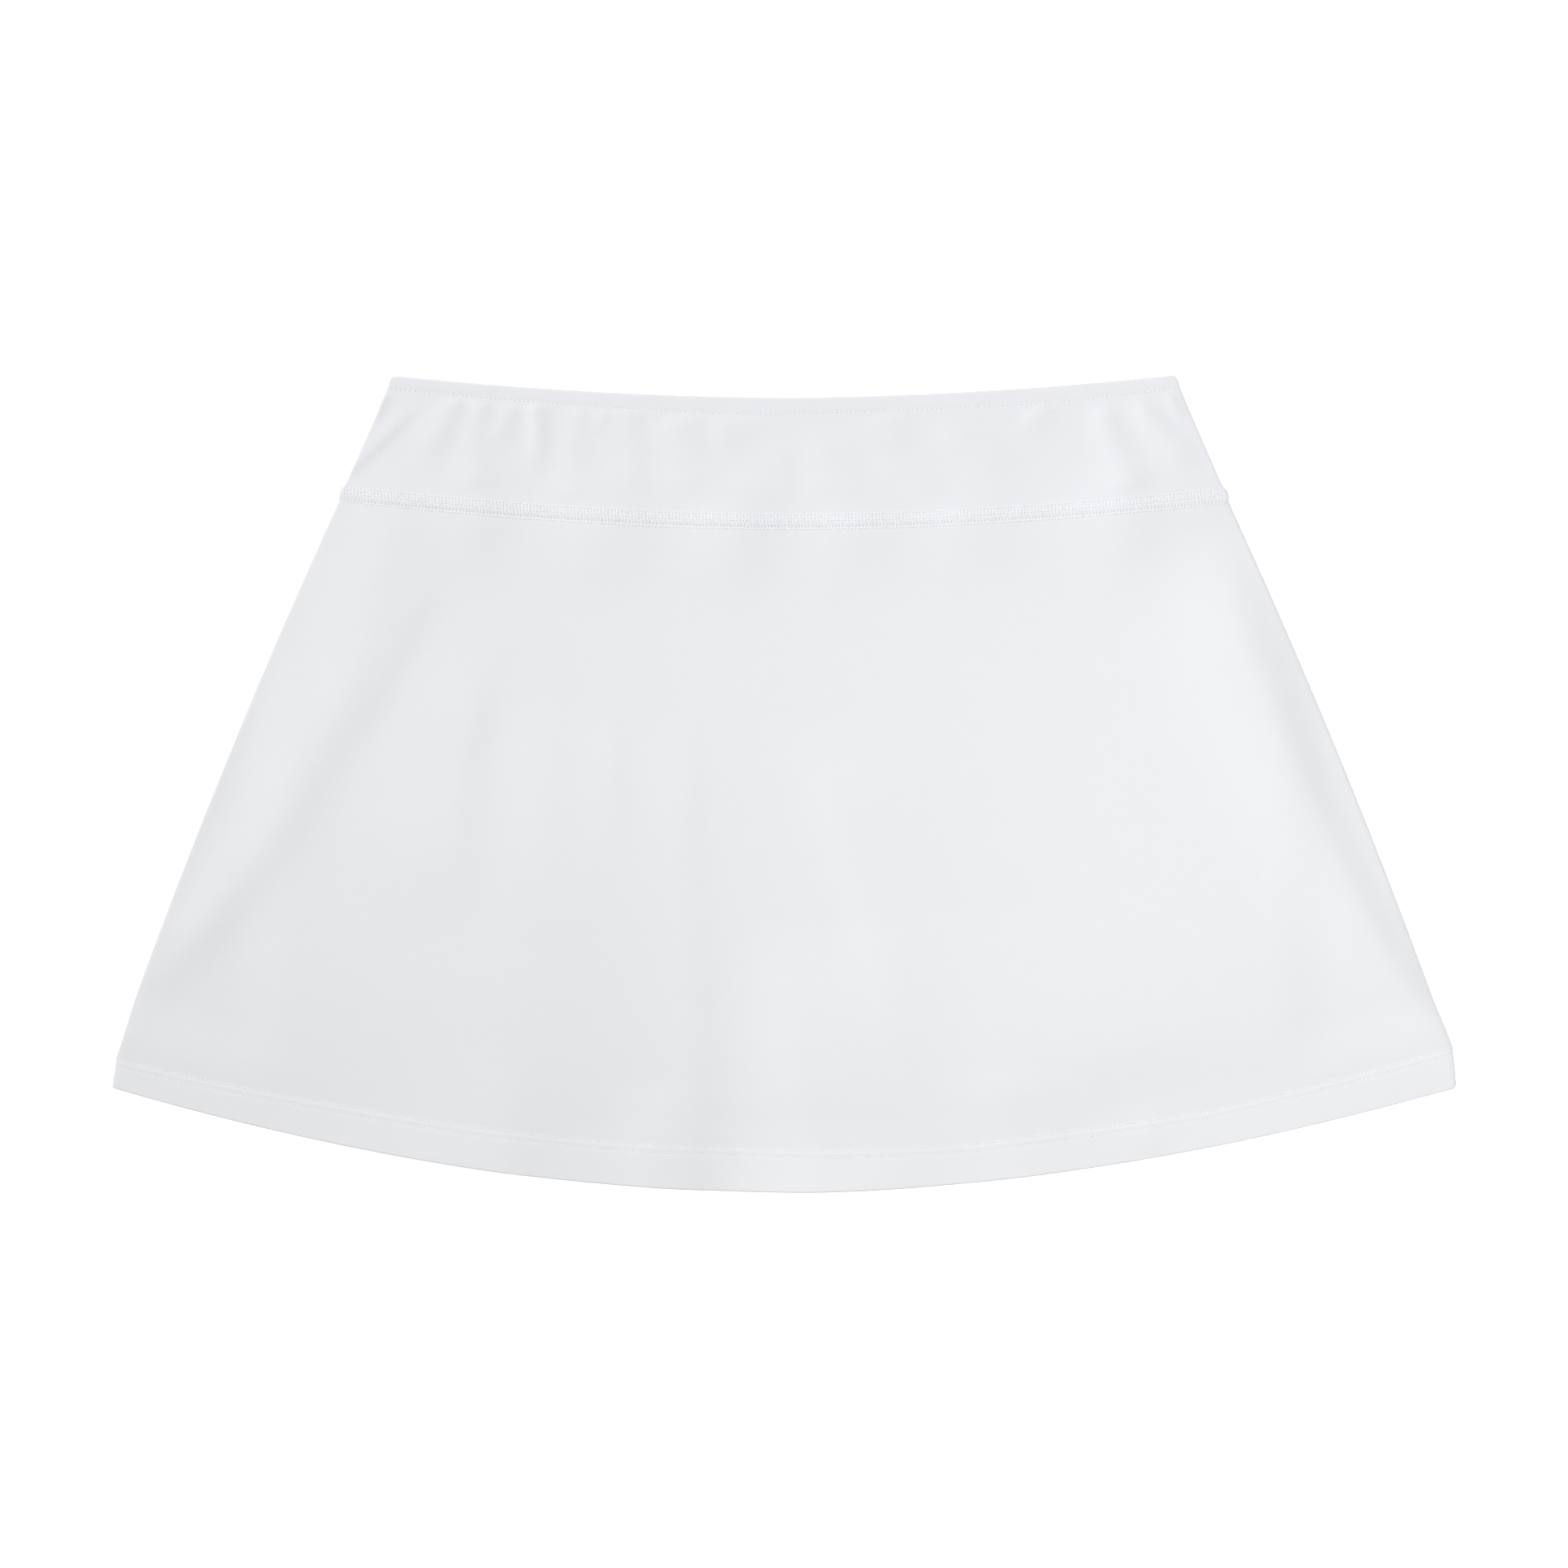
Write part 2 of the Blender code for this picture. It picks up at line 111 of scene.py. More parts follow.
# Section down the back yoke: its underside is its outside, which lies on the floor
YOKE_BACK = table(
    "from_edge top under",
    (0.0000, 0.0021, 0.0002),
    (0.0020, 0.0022, 0.0000),
    (0.0056, 0.0022, 0.0000),
    (0.0066, 0.0022, 0.0004),
    (0.0076, 0.0021, 0.0003),
    (0.0081, 0.0012, 0.0003),
    (0.0516, 0.0012, 0.0003),
    (0.0521, 0.0016, 0.0004),
    (0.0575, 0.0013, 0.0004),
)
SECTION_SOFTNESS = 0.0004  # how far the corners of these two sections are softened
SOFT_REACH, SOFT_SAMPLES = 1.5, 13
EDGE_ROUND = 0.0006  # within which the waist edge and the hem's edge round off
LIP_ROUND = 0.0010  # within which the back's lip rounds off
LEAST_OPEN = 0.02  # share left at a rounding's end, so that its faces never meet
WAIST_TURN_IN = 0.0075  # the cloth folded in over the elastic

# The turned-up hem: its depth, its wall, the height of the back's, and how softly its raw edge ends
HEM_DEPTH, HEM_WALL, BACK_HEM_TOP = 0.0195, 0.0021, 0.0022
HEM_FOLD_EASE = 0.0006
DOUBLED_EASE = 0.0008  # how softly its whiter tone ends

# The casing over the elastic, and its slight unevenness: height, size and seed
CASING_END, CASING_EASE = 0.0060, 0.0015
CASING_UNEVEN, CASING_WAVE, CASING_SEED = 0.00008, 0.014, 5
# The puckers rise from the casing's stitch row on and fade out above the lip
PUCKER_START, PUCKER_RISE = 0.0057, 0.0050
PUCKER_END, PUCKER_FADE = 0.0560, 0.0120

# The back's outside is a little uneven too, less so on the yoke's inside
YOKE_BACK_UNEVEN, YOKE_BACK_WAVE, YOKE_BACK_SEED = 0.0002, 0.022, 8
YOKE_BACK_INSIDE = 0.3
YOKE_BACK_START, YOKE_BACK_END, YOKE_BACK_EASE = 0.009, 0.051, 0.004  # between casing and seam
SKIRT_BACK_UNEVEN, SKIRT_BACK_WAVE, SKIRT_BACK_SEED = 0.00012, 0.045, 9
SKIRT_BACK_START, SKIRT_BACK_EASE = 0.021, 0.012  # above the hem's edge
MOTTLE_WAVES = 10
MOTTLE_SMALLEST, MOTTLE_LARGEST = 0.6, 1.7  # shares of the size

# Inner shorts: the right half of their outline, from the top round the leg to the crotch
SHORTS_TOP_HALF, SHORTS_TOP_STEPS = 0.1880, 40
SHORTS_OUTLINE = table(
    "x y",
    (0.1960, 0.0900),
    (0.2040, 0.0400),
    (0.2090, -0.0200),
    (0.2110, -0.0700),
    (0.2100, -0.1220),
    (0.0090, -0.1340),
    (0.0050, -0.0820),
    (0.0000, -0.0680),
)
SHORTS_BACK_Z, SHORTS_FRONT_Z = 0.0014, 0.0026  # undersides of the two layers
SHORTS_BELOW_SEAM = 0.0006  # from the lip down to their top
SHORTS_HALF = max(point["x"] for point in SHORTS_OUTLINE)
SHORTS_END = min(point["y"] for point in SHORTS_OUTLINE)

# Height of the skirt's front as it lies: over the shorts and the hem, and over the back alone
STACK_FULL, STACK_SIDE = 0.0049, 0.0036
STACK_EASE, STACK_MARGIN = 0.0280, 0.0050  # the slope between them, and how far it starts from the shorts
SWELL, SWELL_EASE = 0.0008, 0.1200  # air under the loose cloth
SEAM_EASE = 0.0100  # how far below the seam the folds reach their full height
# The front skirt dips under the lip: how much, from how far below the lip, and to how far above it
LAP_DROP, LAP_SLOPE, LAP_LEVEL = 0.00004, 0.0012, 0.0001
# The back skirt rises over the yoke's edge: how much, from how far below that edge, and how softly
LAP_LIFT, LAP_LIFT_START, LAP_LIFT_EASE = 0.0012, 0.0032, 0.0026

# Folds of the skirt's front: a path through three points, its width on either side, at its start and at its
# end, its height, and how much of the path it takes to rise and to fade. As the front is seen, left is the
# left side of a path that runs down, and the upper side of one that runs to the left.
SKIRT_FOLDS = table(
    "x0 y0 x1 y1 x2 y2 left left_end right right_end height rise fade",
    # the rolls along both side edges
    (-0.180, 0.122, -0.2100, 0.008, -0.298, -0.106, 0.024, 0.011, 0.0150, 0.0110, 0.0016, 0.22, 0.20),
    (0.186, 0.120, 0.2510, -0.050, 0.334, -0.158, 0.030, 0.015, 0.0145, 0.0072, 0.0041, 0.16, 0.05),
    # a thin ridge along the left side edge
    (-0.214, 0.095, -0.2530, 0.000, -0.289, -0.090, 0.005, 0.005, 0.0055, 0.0055, 0.0005, 0.25, 0.15),
    # short folds beside the left roll
    (-0.156, 0.098, -0.1720, 0.062, -0.200, 0.012, 0.014, 0.014, 0.0070, 0.0090, 0.0008, 0.40, 0.30),
    (-0.129, 0.070, -0.1450, 0.005, -0.149, -0.075, 0.035, 0.040, 0.0090, 0.0140, 0.0013, 0.35, 0.35),
    (-0.108, 0.040, -0.1060, 0.000, -0.104, -0.050, 0.010, 0.010, 0.0120, 0.0120, 0.0004, 0.40, 0.50),
    # the broad fall of the left half towards the middle
    (-0.200, -0.030, -0.2250, -0.110, -0.250, -0.230, 0.060, 0.060, 0.1400, 0.1700, 0.0016, 0.50, 0.05),
    (-0.095, 0.045, -0.1200, -0.050, -0.125, -0.230, 0.090, 0.090, 0.0480, 0.0500, 0.0038, 0.50, 0.05),
    # waves that run down into the hem
    (-0.126, -0.110, -0.1265, -0.160, -0.127, -0.210, 0.045, 0.045, 0.0150, 0.0150, 0.0016, 0.60, 0.05),
    (-0.058, 0.035, -0.0440, -0.095, -0.050, -0.215, 0.090, 0.100, 0.0140, 0.0150, 0.0015, 0.45, 0.05),
    (-0.057, -0.130, -0.0555, -0.165, -0.054, -0.210, 0.018, 0.018, 0.0160, 0.0160, 0.0016, 0.50, 0.05),
    (0.004, -0.060, 0.0110, -0.120, 0.028, -0.225, 0.017, 0.022, 0.0700, 0.1000, 0.0037, 0.60, 0.05),
    (0.008, 0.026, 0.0350, -0.040, 0.062, -0.130, 0.010, 0.012, 0.0300, 0.0400, 0.0017, 0.35, 0.35),
    (0.108, -0.125, 0.1080, -0.150, 0.108, -0.210, 0.022, 0.022, 0.0300, 0.0300, 0.0012, 0.50, 0.05),
    # the hem stands up a little at the middle, and has a low bump at the right
    (0.075, -0.180, 0.0200, -0.192, -0.030, -0.190, 0.022, 0.022, 0.0200, 0.0200, 0.0018, 0.35, 0.30),
    (0.159, -0.140, 0.1610, -0.153, 0.163, -0.168, 0.010, 0.010, 0.0060, 0.0060, 0.0005, 0.45, 0.40),
    # faint upright folds left of the middle
    (-0.078, 0.042, -0.0760, 0.000, -0.076, -0.050, 0.011, 0.011, 0.0060, 0.0070, 0.0005, 0.40, 0.50),
    (-0.044, 0.036, -0.0420, -0.010, -0.044, -0.070, 0.011, 0.011, 0.0060, 0.0060, 0.0005, 0.40, 0.50),
    # the slack cloth above the hem at the right
    (0.285, -0.122, 0.1800, -0.110, 0.070, -0.140, 0.050, 0.040, 0.0200, 0.0180, 0.0015, 0.70, 0.15),
)
# Waves of the flat seam, which cross it from the yoke into the skirt
SEAM_WAVES = table(
    "x0 y0 x1 y1 x2 y2 left left_end right right_end height rise fade",
    (-0.168, 0.150, -0.171, 0.118, -0.177, 0.070, 0.015, 0.017, 0.020, 0.020, 0.0012, 0.45, 0.55),
    (-0.140, 0.148, -0.139, 0.114, -0.141, 0.080, 0.018, 0.018, 0.014, 0.018, 0.0014, 0.50, 0.55),
    (-0.080, 0.147, -0.080, 0.112, -0.078, 0.076, 0.022, 0.022, 0.022, 0.022, 0.0018, 0.50, 0.55),
    (-0.023, 0.146, -0.022, 0.111, -0.019, 0.074, 0.020, 0.018, 0.018, 0.018, 0.0023, 0.50, 0.55),
    (0.030, 0.145, 0.030, 0.111, 0.032, 0.076, 0.016, 0.018, 0.022, 0.022, 0.0016, 0.50, 0.55),
    (0.082, 0.146, 0.082, 0.112, 0.086, 0.082, 0.018, 0.020, 0.018, 0.020, 0.0015, 0.50, 0.55),
    (0.150, 0.150, 0.150, 0.112, 0.147, 0.060, 0.020, 0.022, 0.013, 0.018, 0.0018, 0.45, 0.60),
    # the right end of the yoke stands up, from the waist edge down
    (0.177, 0.195, 0.1900, 0.150, 0.203, 0.108, 0.040, 0.040, 0.020, 0.020, 0.0024, 0.05, 0.40),
)
# Puckers that the elastic draws in the front yoke. Each point of a path is an x and how far down the yoke it
# lies, from 0 at the waist edge to 1 at the flat seam.
YOKE_PUCKERS = table(
    "x0 down0 x1 down1 x2 down2 left left_end right right_end height rise fade",
    (-0.1765, 0.12, -0.1805, 0.33, -0.1855, 0.50, 0.0030, 0.0030, 0.0030, 0.0030, 0.0006, 0.15, 0.60),
    (-0.1590, 0.15, -0.1745, 0.46, -0.1940, 0.83, 0.0055, 0.0060, 0.0028, 0.0030, 0.0006, 0.55, 0.05),
    (-0.1435, 0.13, -0.1535, 0.44, -0.1670, 0.90, 0.0040, 0.0100, 0.0038, 0.0095, 0.0008, 0.08, 0.55),
    (-0.1325, 0.13, -0.1370, 0.45, -0.1360, 0.95, 0.0050, 0.0100, 0.0045, 0.0100, 0.0007, 0.08, 0.20),
    (-0.1195, 0.13, -0.1245, 0.35, -0.1310, 0.62, 0.0040, 0.0050, 0.0040, 0.0060, 0.0005, 0.15, 0.50),
    (-0.1110, 0.12, -0.1090, 0.38, -0.1100, 0.75, 0.0030, 0.0050, 0.0045, 0.0050, 0.0009, 0.08, 0.45),
    (-0.0880, 0.13, -0.0930, 0.42, -0.0930, 0.98, 0.0040, 0.0085, 0.0045, 0.0100, 0.0006, 0.10, 0.15),
    (-0.0800, 0.12, -0.0815, 0.25, -0.0840, 0.38, 0.0040, 0.0040, 0.0030, 0.0030, 0.0004, 0.30, 0.60),
    (-0.0685, 0.12, -0.0680, 0.40, -0.0670, 0.90, 0.0110, 0.0150, 0.0050, 0.0080, 0.0007, 0.10, 0.25),
    (-0.0490, 0.13, -0.0450, 0.42, -0.0400, 0.90, 0.0100, 0.0120, 0.0100, 0.0140, 0.0010, 0.30, 0.25),
    (-0.0280, 0.13, -0.0255, 0.32, -0.0210, 0.58, 0.0055, 0.0060, 0.0110, 0.0120, 0.0008, 0.40, 0.55),
    (-0.0040, 0.30, -0.0040, 0.60, -0.0060, 0.92, 0.0180, 0.0200, 0.0090, 0.0090, 0.0006, 0.40, 0.35),
    (0.0150, 0.20, 0.0185, 0.55, 0.0190, 0.92, 0.0080, 0.0090, 0.0160, 0.0180, 0.0008, 0.40, 0.35),
    (0.0445, 0.12, 0.0475, 0.30, 0.0520, 0.52, 0.0110, 0.0110, 0.0090, 0.0100, 0.0006, 0.30, 0.50),
    (0.0380, 0.42, 0.0530, 0.62, 0.0740, 0.86, 0.0060, 0.0060, 0.0055, 0.0060, 0.0007, 0.45, 0.35),
    (0.0640, 0.22, 0.0830, 0.47, 0.1100, 0.78, 0.0065, 0.0080, 0.0085, 0.0110, 0.0009, 0.40, 0.40),
    (0.1195, 0.12, 0.1095, 0.28, 0.1035, 0.42, 0.0040, 0.0040, 0.0060, 0.0060, 0.0006, 0.20, 0.60),
    (0.1410, 0.12, 0.1460, 0.50, 0.1590, 0.98, 0.0050, 0.0120, 0.0050, 0.0100, 0.0012, 0.30, 0.20),
    (0.1555, 0.10, 0.1650, 0.42, 0.1860, 0.80, 0.0040, 0.0080, 0.0050, 0.0070, 0.0011, 0.35, 0.25),
    (0.1695, 0.10, 0.1730, 0.24, 0.1780, 0.42, 0.0030, 0.0030, 0.0030, 0.0030, 0.0006, 0.20, 0.55),
)
# Shallow creases pressed into the outside of the back
BACK_FOLDS = table(
    "x0 y0 x1 y1 x2 y2 left left_end right right_end height rise fade",
    (-0.150, 0.080, -0.200, -0.010, -0.250, -0.110, 0.012, 0.012, 0.0140, 0.0140, 0.0006, 0.30, 0.30),
    (0.160, 0.090, 0.205, 0.010, 0.255, -0.090, 0.010, 0.010, 0.0140, 0.0140, 0.0006, 0.30, 0.30),
    (-0.060, 0.060, -0.080, -0.020, -0.085, -0.120, 0.010, 0.010, 0.0120, 0.0120, 0.0004, 0.40, 0.40),
    (0.020, 0.080, 0.030, 0.000, 0.060, -0.130, 0.012, 0.012, 0.0090, 0.0090, 0.0005, 0.40, 0.40),
    (0.100, 0.020, 0.120, -0.060, 0.130, -0.140, 0.010, 0.010, 0.0120, 0.0120, 0.0004, 0.40, 0.30),
    (-0.140, -0.020, -0.145, -0.080, -0.150, -0.140, 0.008, 0.008, 0.0100, 0.0100, 0.0004, 0.40, 0.30),
)
FOLD_SAMPLES = 41
FOLD_REACH = 3.2  # a fold is worked out as far as this many of its widths from its path

# How far the waist row lies below the edge, and the middle of the twin rows above the hem
WAIST_ROW = table(
    "x depth",
    (-0.176, 0.0060),
    (-0.085, 0.0066),
    (-0.002, 0.0080),  # the row ends here, over its own start
    (0.004, 0.0074),
    (0.040, 0.0067),
    (0.113, 0.0071),
    (0.176, 0.0062),
)
HEM_ROWS = table(
    "x above",
    (-0.297, 0.0130),
    (-0.190, 0.0168),
    (-0.020, 0.0178),
    (0.080, 0.0156),
    (0.130, 0.0164),
    (0.190, 0.0153),
    (0.297, 0.0190),
)
ROW_NOMINAL, TWIN_NOMINAL = 0.0066, 0.0165  # the places that the sections have for them
TWIN_HALF = 0.0017  # from the middle of the twin rows to each of them
# The cloth around a row moves with it. The move grows from the panel's edge to the first distance, stays,
# and fades along the second, up to the third.
YOKE_PULL_FULL, YOKE_PULL_EASE, YOKE_PULL_END = 0.0058, 0.0120, 0.0200
HEM_PULL_FULL, HEM_PULL_EASE, HEM_PULL_END = 0.0140, 0.0270, 0.0480
# Grooves along the stitch rows and the ridge between the twin rows: depth and width
WAIST_GROOVE, WAIST_GROOVE_WIDTH = 0.00006, 0.00055
HEM_GROOVE, HEM_GROOVE_WIDTH = 0.00008, 0.00050
HEM_RIDGE, HEM_RIDGE_WIDTH = 0.00005, 0.00080
BACK_GROOVE, BACK_GROOVE_WIDTH = 0.00040, 0.00055

# Stitches: their spacing, how much of it shows, the thread's radius, and how deep it lies in the cloth
WAIST_STITCH = {"pitch": 0.0021, "share": 0.68, "radius": 0.00019, "depth": 0.00004}
HEM_STITCH = {"pitch": 0.00174, "share": 0.72, "radius": 0.00016, "depth": 0.00004}
WAIST_SEEDS = {"front": 60, "back": 70}  # of the waist rows; the hem rows count on from them
STITCH_BOW = np.array([-0.9, 0.2, 0.7, 0.85, 0.7, 0.2, -0.9])  # height along a stitch, in radii
STITCH_THICK = np.array([0.5, 0.9, 1.0, 1.0, 1.0, 0.9, 0.5])  # and its thickness
UNEVEN_ALONG, UNEVEN_ASIDE = 0.04, 0.03  # how far stitches stray, as shares of their spacing
ROW_STOP = 0.0010  # a row ends this far from the panel's side edge
THREAD_SIDES = 6

# Threads of the flat seam: each repeats once a stitch. A thread runs from one place to another, given by
# its step along the seam, in stitches, and its distance above the seam's line.
SEAM_THREADS = table(
    "name step0 offset0 step1 offset1 radius bow",
    ("upper_row", -0.36, 0.0030, 0.36, 0.0030, 0.00017, 0.9),
    ("slant", -0.42, 0.0028, 0.42, 0.0006, 0.00014, 0.7),
    ("counter", 0.42, 0.0028, -0.30, 0.0006, 0.00009, 0.4),
    ("middle_row", -0.32, 0.00035, 0.32, 0.00035, 0.00019, 0.9),
    ("cross", 0.10, 0.0003, 0.30, -0.0033, 0.00012, 0.5),
    ("cross_back", 0.30, -0.0033, 0.75, 0.0003, 0.00009, 0.3),
    ("lower_row", -0.40, -0.0034, 0.40, -0.0034, 0.00017, 0.9),
)
SEAM_PITCH = 0.0015
SEAM_SEED = 40  # of the first kind of thread; the others count on from it
SEAM_END = 0.19  # x near the seam's end, at whose height the yoke's half width is read
SEAM_STOP = 0.0012  # the threads end this far from the side edge
SEAM_POINTS = 7
DIP, DIP_CURVE = 1.6, 3  # how much lower a thread's ends lie than its middle, in radii, and how suddenly
TAPER, TAPER_CURVE = 0.45, 4  # how much its ends taper, and how suddenly
# A thread steps off the lip onto the skirt: from how far above the lip's edge, and how softly
STEP_START, STEP_EASE = 0.0002, 0.0005
LIP_SHARE = 0.7  # the lip's height is read no nearer to its edge than this share of the rounding
UNDER_LIP = 0.002  # and the skirt's height this far below its top edge


# Outline
def smooth(value):
    """0 below 0 and 1 above 1, with an S curve between them."""
    t = np.clip(value, 0.0, 1.0)
    return t * t * (3.0 - 2.0 * t)


def between(rows, key, value, at):
    """Reads a table at a place between its rows."""
    ordered = sorted(rows, key=lambda row: row[key])
    return np.interp(at, [row[key] for row in ordered], [row[value] for row in ordered])


def waist_curve(x):
    return WAIST_Y + WAIST_RISE * (np.abs(x) / WAIST_REACH) ** WAIST_CURVE


def waist_edge(x):
    corner = np.clip(np.abs(x) - CORNER_START, 0.0, None) ** 2 / (2 * CORNER_RADIUS)
    return waist_curve(x) - corner


def seam_line(x):
    return SEAM_Y + SEAM_RISE * (np.abs(x) / SEAM_REACH) ** SEAM_CURVE - SEAM_TILT * x


def yoke_bottom(x):
    return seam_line(x) - LIP_BELOW - LIP_DROOP * (np.abs(x) / LIP_REACH) ** LIP_CURVE


def skirt_top(x):
    return yoke_bottom(x) + LAP


def hem_edge(x):
    return HEM_Y + HEM_RISE * (np.abs(x) / HEM_REACH) ** HEM_CURVE


def yoke_half_width(y):
    return between(YOKE_SIDE, "y", "half_width", y)


def skirt_half_width(y):
    down = (SKIRT_SIDE_Y - y) / SKIRT_SIDE_RUN
    curve = SKIRT_SIDE_HALF + SKIRT_FLARE * down - SKIRT_FLARE_LOSS * down**2
    return np.where(y > HEM_SIDE[0]["y"], curve, between(HEM_SIDE, "y", "half_width", y))


# Folds
def fold_height(x, y, folds):
    """Height of all these folds together at the points x, y."""
    total = np.zeros_like(x)
    t = np.linspace(0.0, 1.0, FOLD_SAMPLES)
    step = t[1] - t[0]
    # weights of a parabola's three points
    first, middle, last = (1 - t) * (1 - 2 * t), 4 * t * (1 - t), t * (2 * t - 1)
    for fold in folds:
        path_x = first * fold["x0"] + middle * fold["x1"] + last * fold["x2"]
        path_y = first * fold["y0"] + middle * fold["y1"] + last * fold["y2"]
        run_x, run_y = np.gradient(path_x, step), np.gradient(path_y, step)
        reach = FOLD_REACH * max(fold[side] for side in ("left", "left_end", "right", "right_end"))
        near = (x > path_x.min() - reach) & (x < path_x.max() + reach)
        near &= (y > path_y.min() - reach) & (y < path_y.max() + reach)
        px, py = x[near], y[near]
        nearest = np.argmin((px[:, None] - path_x) ** 2 + (py[:, None] - path_y) ** 2, axis=1)
        away_x, away_y = px - path_x[nearest], py - path_y[nearest]
        run = np.hypot(run_x, run_y)[nearest]
        along = t[nearest] + (away_x * run_x[nearest] + away_y * run_y[nearest]) / run**2
        side = (away_y * run_x[nearest] - away_x * run_y[nearest]) / run
        part = np.clip(along, 0.0, 1.0)
        left = fold["left"] + (fold["left_end"] - fold["left"]) * part
        right = fold["right"] + (fold["right_end"] - fold["right"]) * part
        width = np.where(side > 0, right, left)
        strength = smooth(along / fold["rise"]) * smooth((1 - along) / fold["fade"])
        total[near] += fold["height"] * strength * np.exp(-((side / width) ** 2))
    return total


def placed_on_yoke(puckers):
    """The puckers with the place of each point down the yoke worked out as a y."""
    placed = []
    for pucker in puckers:
        fold = dict(pucker)
        for point in "012":
            x, down = pucker["x" + point], pucker["down" + point]
            fold["y" + point] = (1 - down) * waist_curve(x) + down * seam_line(x)
        placed.append(fold)
    return placed


YOKE_FOLDS = placed_on_yoke(YOKE_PUCKERS)


def mottle(x, y, size, seed):
    """Soft irregular waves about a given size, from -1 to 1."""
    draw = np.random.default_rng(seed)
    total = np.zeros_like(x)
    for _ in range(MOTTLE_WAVES):
        turn = draw.uniform(0, math.tau)
        wave = size * draw.uniform(MOTTLE_SMALLEST, MOTTLE_LARGEST)
        shift = draw.uniform(0, math.tau)
        total += np.sin((x * math.cos(turn) + y * math.sin(turn)) * math.tau / wave + shift)
    return np.clip(total / (MOTTLE_WAVES / 2), -1, 1)


def stack_height(x, y):
    """Height of the skirt's front as it lies on the layers beneath it."""
    over_shorts = smooth((SHORTS_HALF + STACK_MARGIN + STACK_EASE - np.abs(x)) / STACK_EASE)
    over_shorts *= smooth((y - SHORTS_END + STACK_MARGIN + STACK_EASE) / STACK_EASE)
    over_hem = smooth((hem_edge(x) + HEM_DEPTH + STACK_EASE - y) / STACK_EASE)
    full = 1 - (1 - over_shorts) * (1 - over_hem)
    return STACK_SIDE + (STACK_FULL - STACK_SIDE) * full


# Sections: the heights of each panel's two faces
def rounded(rows, value, at):
    """The section's value at a place, with the corners of the section softened."""
    reach = np.linspace(-SOFT_REACH, SOFT_REACH, SOFT_SAMPLES)
    weight = np.exp(-(reach**2))
    samples = [between(rows, "from_edge", value, at + r * SECTION_SOFTNESS) for r in reach]
    return sum(w * sample for w, sample in zip(weight, samples)) / weight.sum()


def round_share(distance, reach):
    """How far a round edge has opened at a distance from its end."""
    share = np.clip(distance / reach, LEAST_OPEN, 1.0)
    return np.sqrt(1 - (1 - share) ** 2)


def round_edge(top, under, from_edge, reach=EDGE_ROUND):
    """Closes a wall with a round edge."""
    open_share = round_share(from_edge, reach)
    middle = (top + under) / 2
    return middle + (top - middle) * open_share, middle + (under - middle) * open_share


def row_groove(distance, depth, width):
    return depth * np.exp(-((distance / width) ** 2))


def hem_fold(above_hem, ease=HEM_FOLD_EASE):
    """1 where the hem is turned up, 0 above it."""
    return smooth((HEM_DEPTH + ease / 2 - above_hem) / ease)


def yoke_front_heights(x, y, from_edge):
    """Outside and inside of the front yoke; from_edge is measured with the stitch row at its usual place."""
    top = rounded(YOKE_FRONT, "top", from_edge)
    under = rounded(YOKE_FRONT, "under", from_edge)
    puckered = smooth((from_edge - PUCKER_START) / PUCKER_RISE)
    puckered = puckered * smooth((PUCKER_END - from_edge) / PUCKER_FADE)
    lift = puckered * fold_height(x, y, YOKE_FOLDS) + fold_height(x, y, SEAM_WAVES)
    casing = smooth((CASING_END - from_edge) / CASING_EASE)
    lift = lift + casing * CASING_UNEVEN * mottle(x, y, CASING_WAVE, CASING_SEED)
    top = top + lift - row_groove(from_edge - ROW_NOMINAL, WAIST_GROOVE, WAIST_GROOVE_WIDTH)
    return round_edge(top, under + lift, from_edge)


def yoke_back_heights(x, y, from_edge):
    top = rounded(YOKE_BACK, "top", from_edge)
    under = rounded(YOKE_BACK, "under", from_edge)
    top, under = round_edge(top, under, from_edge)
    top, under = round_edge(top, under, YOKE_LENGTH - from_edge, LIP_ROUND)
    plain = smooth((from_edge - YOKE_BACK_START) / YOKE_BACK_EASE)
    plain = plain * smooth((YOKE_BACK_END - from_edge) / YOKE_BACK_EASE)
    press = plain * YOKE_BACK_UNEVEN * (1 + mottle(x, y, YOKE_BACK_WAVE, YOKE_BACK_SEED))
    return top + YOKE_BACK_INSIDE * press, under + press


def skirt_front_heights(x, y, above_hem):
    below_seam = yoke_bottom(x) - y
    lift = SWELL * smooth(below_seam / SWELL_EASE)
    lift = lift + fold_height(x, y, SKIRT_FOLDS) * smooth(below_seam / SEAM_EASE)
    lift = lift + fold_height(x, y, SEAM_WAVES)
    top = stack_height(x, y) + lift
    top = top - LAP_DROP * smooth((LAP_SLOPE - below_seam) / (LAP_SLOPE + LAP_LEVEL))
    for row in (-TWIN_HALF, TWIN_HALF):
        top = top - row_groove(above_hem - TWIN_NOMINAL - row, HEM_GROOVE, HEM_GROOVE_WIDTH)
    top = top + row_groove(above_hem - TWIN_NOMINAL, HEM_RIDGE, HEM_RIDGE_WIDTH)
    under = top - CLOTH - (HEM_WALL - CLOTH) * hem_fold(above_hem)
    return round_edge(top, under, above_hem)


def skirt_back_heights(x, y, above_hem):
    press = SKIRT_BACK_UNEVEN * (1 + mottle(x, y, SKIRT_BACK_WAVE, SKIRT_BACK_SEED))
    press = press + fold_height(x, y, BACK_FOLDS)
    under = press * smooth((above_hem - SKIRT_BACK_START) / SKIRT_BACK_EASE)
    under = under + LAP_LIFT * smooth((y - yoke_bottom(x) + LAP_LIFT_START) / LAP_LIFT_EASE)
    for row in (-TWIN_HALF, TWIN_HALF):
        under = under + row_groove(above_hem - TWIN_NOMINAL - row, BACK_GROOVE, BACK_GROOVE_WIDTH)
    fold = hem_fold(above_hem)
    top = (under + CLOTH) * (1 - fold) + BACK_HEM_TOP * fold
    return round_edge(top, under, above_hem)


